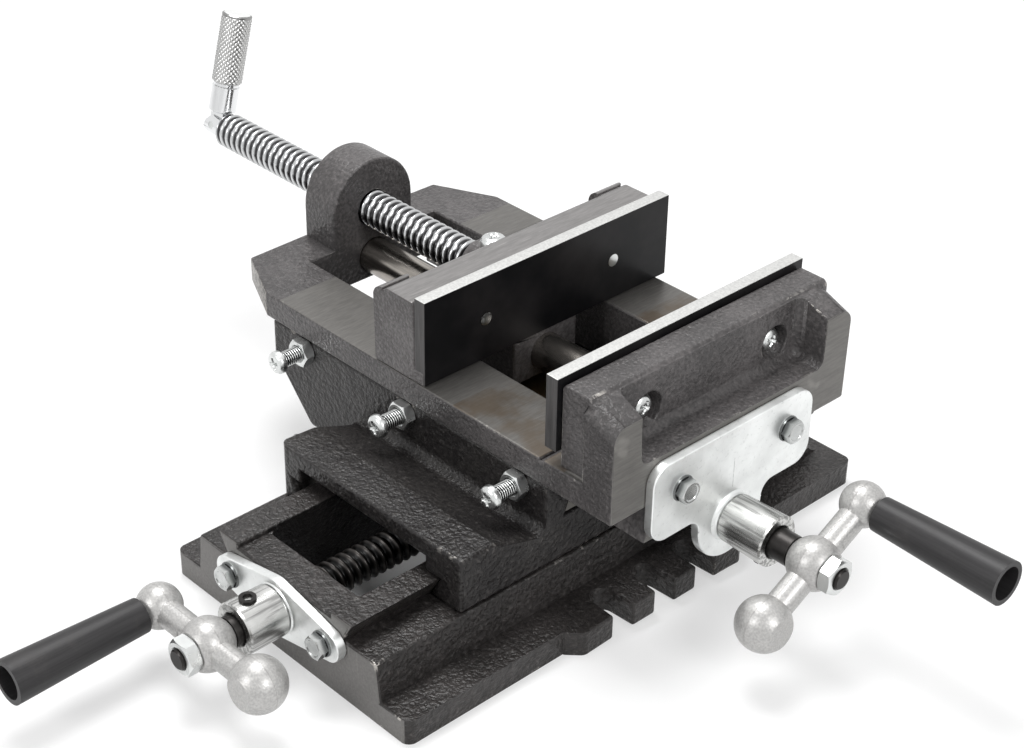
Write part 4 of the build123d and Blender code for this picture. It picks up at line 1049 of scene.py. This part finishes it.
# %% Bushes
bush_bore, plate_hole, groove_radius = in_mm(4.8, 6.5, 6.6)
for side, body, place, long, (foot, crown, rise), (near, far), finish in (
        ("lower", "base", (plate_face["lower"], 0, lower_axis_z), 14 * mm,
         in_mm(7.9, 7.5, 0.4), in_mm(7.8, 7.95), bush_zinc),
        ("upper", "vise_body", (upper_axis_x, plate_face["upper"], upper_axis_z), 17.6 * mm,
         in_mm(8.0, 7.1, 1.2), in_mm(7.4, 7.9), upper_bush_zinc)):
    rim = rings(side + "_collar", [
        (bush_bore, -plate_thick), (plate_hole, -plate_thick), (plate_hole, 0), (foot, 0),
        (crown + 0.2 * mm, 0.5 * rise), (crown, rise), (bush_bore, rise),
        (bush_bore, -plate_thick)], 72)
    turned = rings(side + "_bush", [
        (bush_bore, rise), (groove_radius, rise), (groove_radius, rise + 0.6 * mm),
        (near - 0.2 * mm, rise + 0.6 * mm), (near, rise + 0.9 * mm), (far, long - 0.5 * mm),
        (far - 0.5 * mm, long), (bush_bore + 0.5 * mm, long), (bush_bore, long - 0.5 * mm),
        (bush_bore, rise)], 72)
    stand = frame_at(place, crank_out[side])
    piece(side + "_bush", "turned", body,
          [(rim, plate_zinc, stand), (turned, finish, stand)])

# %% Set screws
screw_cut = 1.1 * mm
for side, body, axis in ends:
    low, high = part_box(side + "_set_screw")
    inner = low.z if low.z > (lower_axis_z, upper_axis_z)[axis] else high.z
    share = 1 - screw_cut / (high.z - low.z)
    bm = solid_copy(side + "_set_screw")
    for vert in bm.verts:
        vert.co.z = inner + (vert.co.z - inner) * share
    piece(side + "_set_screw", "short", body,
          [(to_mesh(bm, side + "_set_screw"), black_steel, here)])

# %% Crank nuts
crank_nut_mesh = nut("crank_nut_mesh", 10 * mm, 4.2 * mm, stud_radius + nut_play)
upper_angle = radians(28)
for side, flat_side in (("lower", (0, 0, 1)), ("upper", (-sin(upper_angle), 0, cos(upper_angle)))):
    seat = crank_centre[side] + crank_out[side] * nut_seat
    piece(side + "_crank_nut", "cut", side + "_screw",
          [(crank_nut_mesh, zinc, frame_at(seat, crank_out[side], flat_side))])

# %% Plate screws and retaining screw
small_head_height, end_radius, hole_radius = in_mm(3.6, 2.05, 2.35)
plate_head = crossed_head("plate_head", 3.7 * mm, small_head_height, 4.0 * mm, 1.1 * mm, 1.7 * mm)
for node, body, out, far_face in (
        ("fixed_plate_screws", "vise_body", Vector((0, -1, 0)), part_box("fixed_jaw_plate")[1].y),
        ("moving_plate_screws", "moving_jaw", Vector((0, 1, 0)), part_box("moving_jaw_plate")[0].y)):
    parts = []
    for middle, size in islands(node):
        seat = middle + out * (size.y / 2 - small_head_height)
        length = abs(far_face - seat.y)
        # A black ring fills the gap between each screw's end and its hole: painted shade in the gap.
        shade_tip = length + 0.03 * mm
        stud = rings(node + "_stud", rod(end_radius, 0, length + 0.06 * mm, 0.15 * mm, 0.06 * mm), 32)
        shade = rings(node + "_shade", [(end_radius, 0), (hole_radius, 0), (hole_radius, shade_tip),
                                        (end_radius, shade_tip), (end_radius, 0)], 32)
        parts += [(plate_head, zinc, frame_at(seat, out, (0.5, 0, 1))),
                  (stud, zinc, frame_at(seat, -out)), (shade, black_steel, frame_at(seat, -out))]
    piece(node, "cut", body, parts)
low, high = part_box("retainer_screw")
retainer_head = crossed_head("retainer_head", 4 * mm, 3 * mm, 4.0 * mm, 1.1 * mm, 1.5 * mm)
retainer_seat = Vector(((low.x + high.x) / 2, (low.y + high.y) / 2, high.z - 3 * mm))
shank_length = retainer_seat.z - low.z
shank = rings("retainer_shank", [(0, -shank_length), (2 * mm, -shank_length), (2 * mm, 0), (0, 0)], 24)
retainer_place = frame_at(retainer_seat, (0, 0, 1), (1, 0.3, 0))
piece("retainer_screw", "cut", "moving_jaw",
      [(retainer_head, zinc, retainer_place), (shank, zinc, retainer_place)])

# %% [markdown]
# ## Nodes kept from the solid model
# Hidden or simple pieces keep their CAD shape and only get a finish.

# %% Kept nodes
kept = {"guide_bar": bar_steel, "handle_pin": zinc, "lower_gib": gib_steel, "upper_gib": gib_steel,
        "lower_lead_nut": bronze, "upper_lead_nut": bronze, "lower_grip_spindle": black_steel,
        "upper_grip_spindle": black_steel}
for node, finish in kept.items():
    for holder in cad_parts[node].material_slots:
        holder.material = finish
print("kept:", sorted(kept))
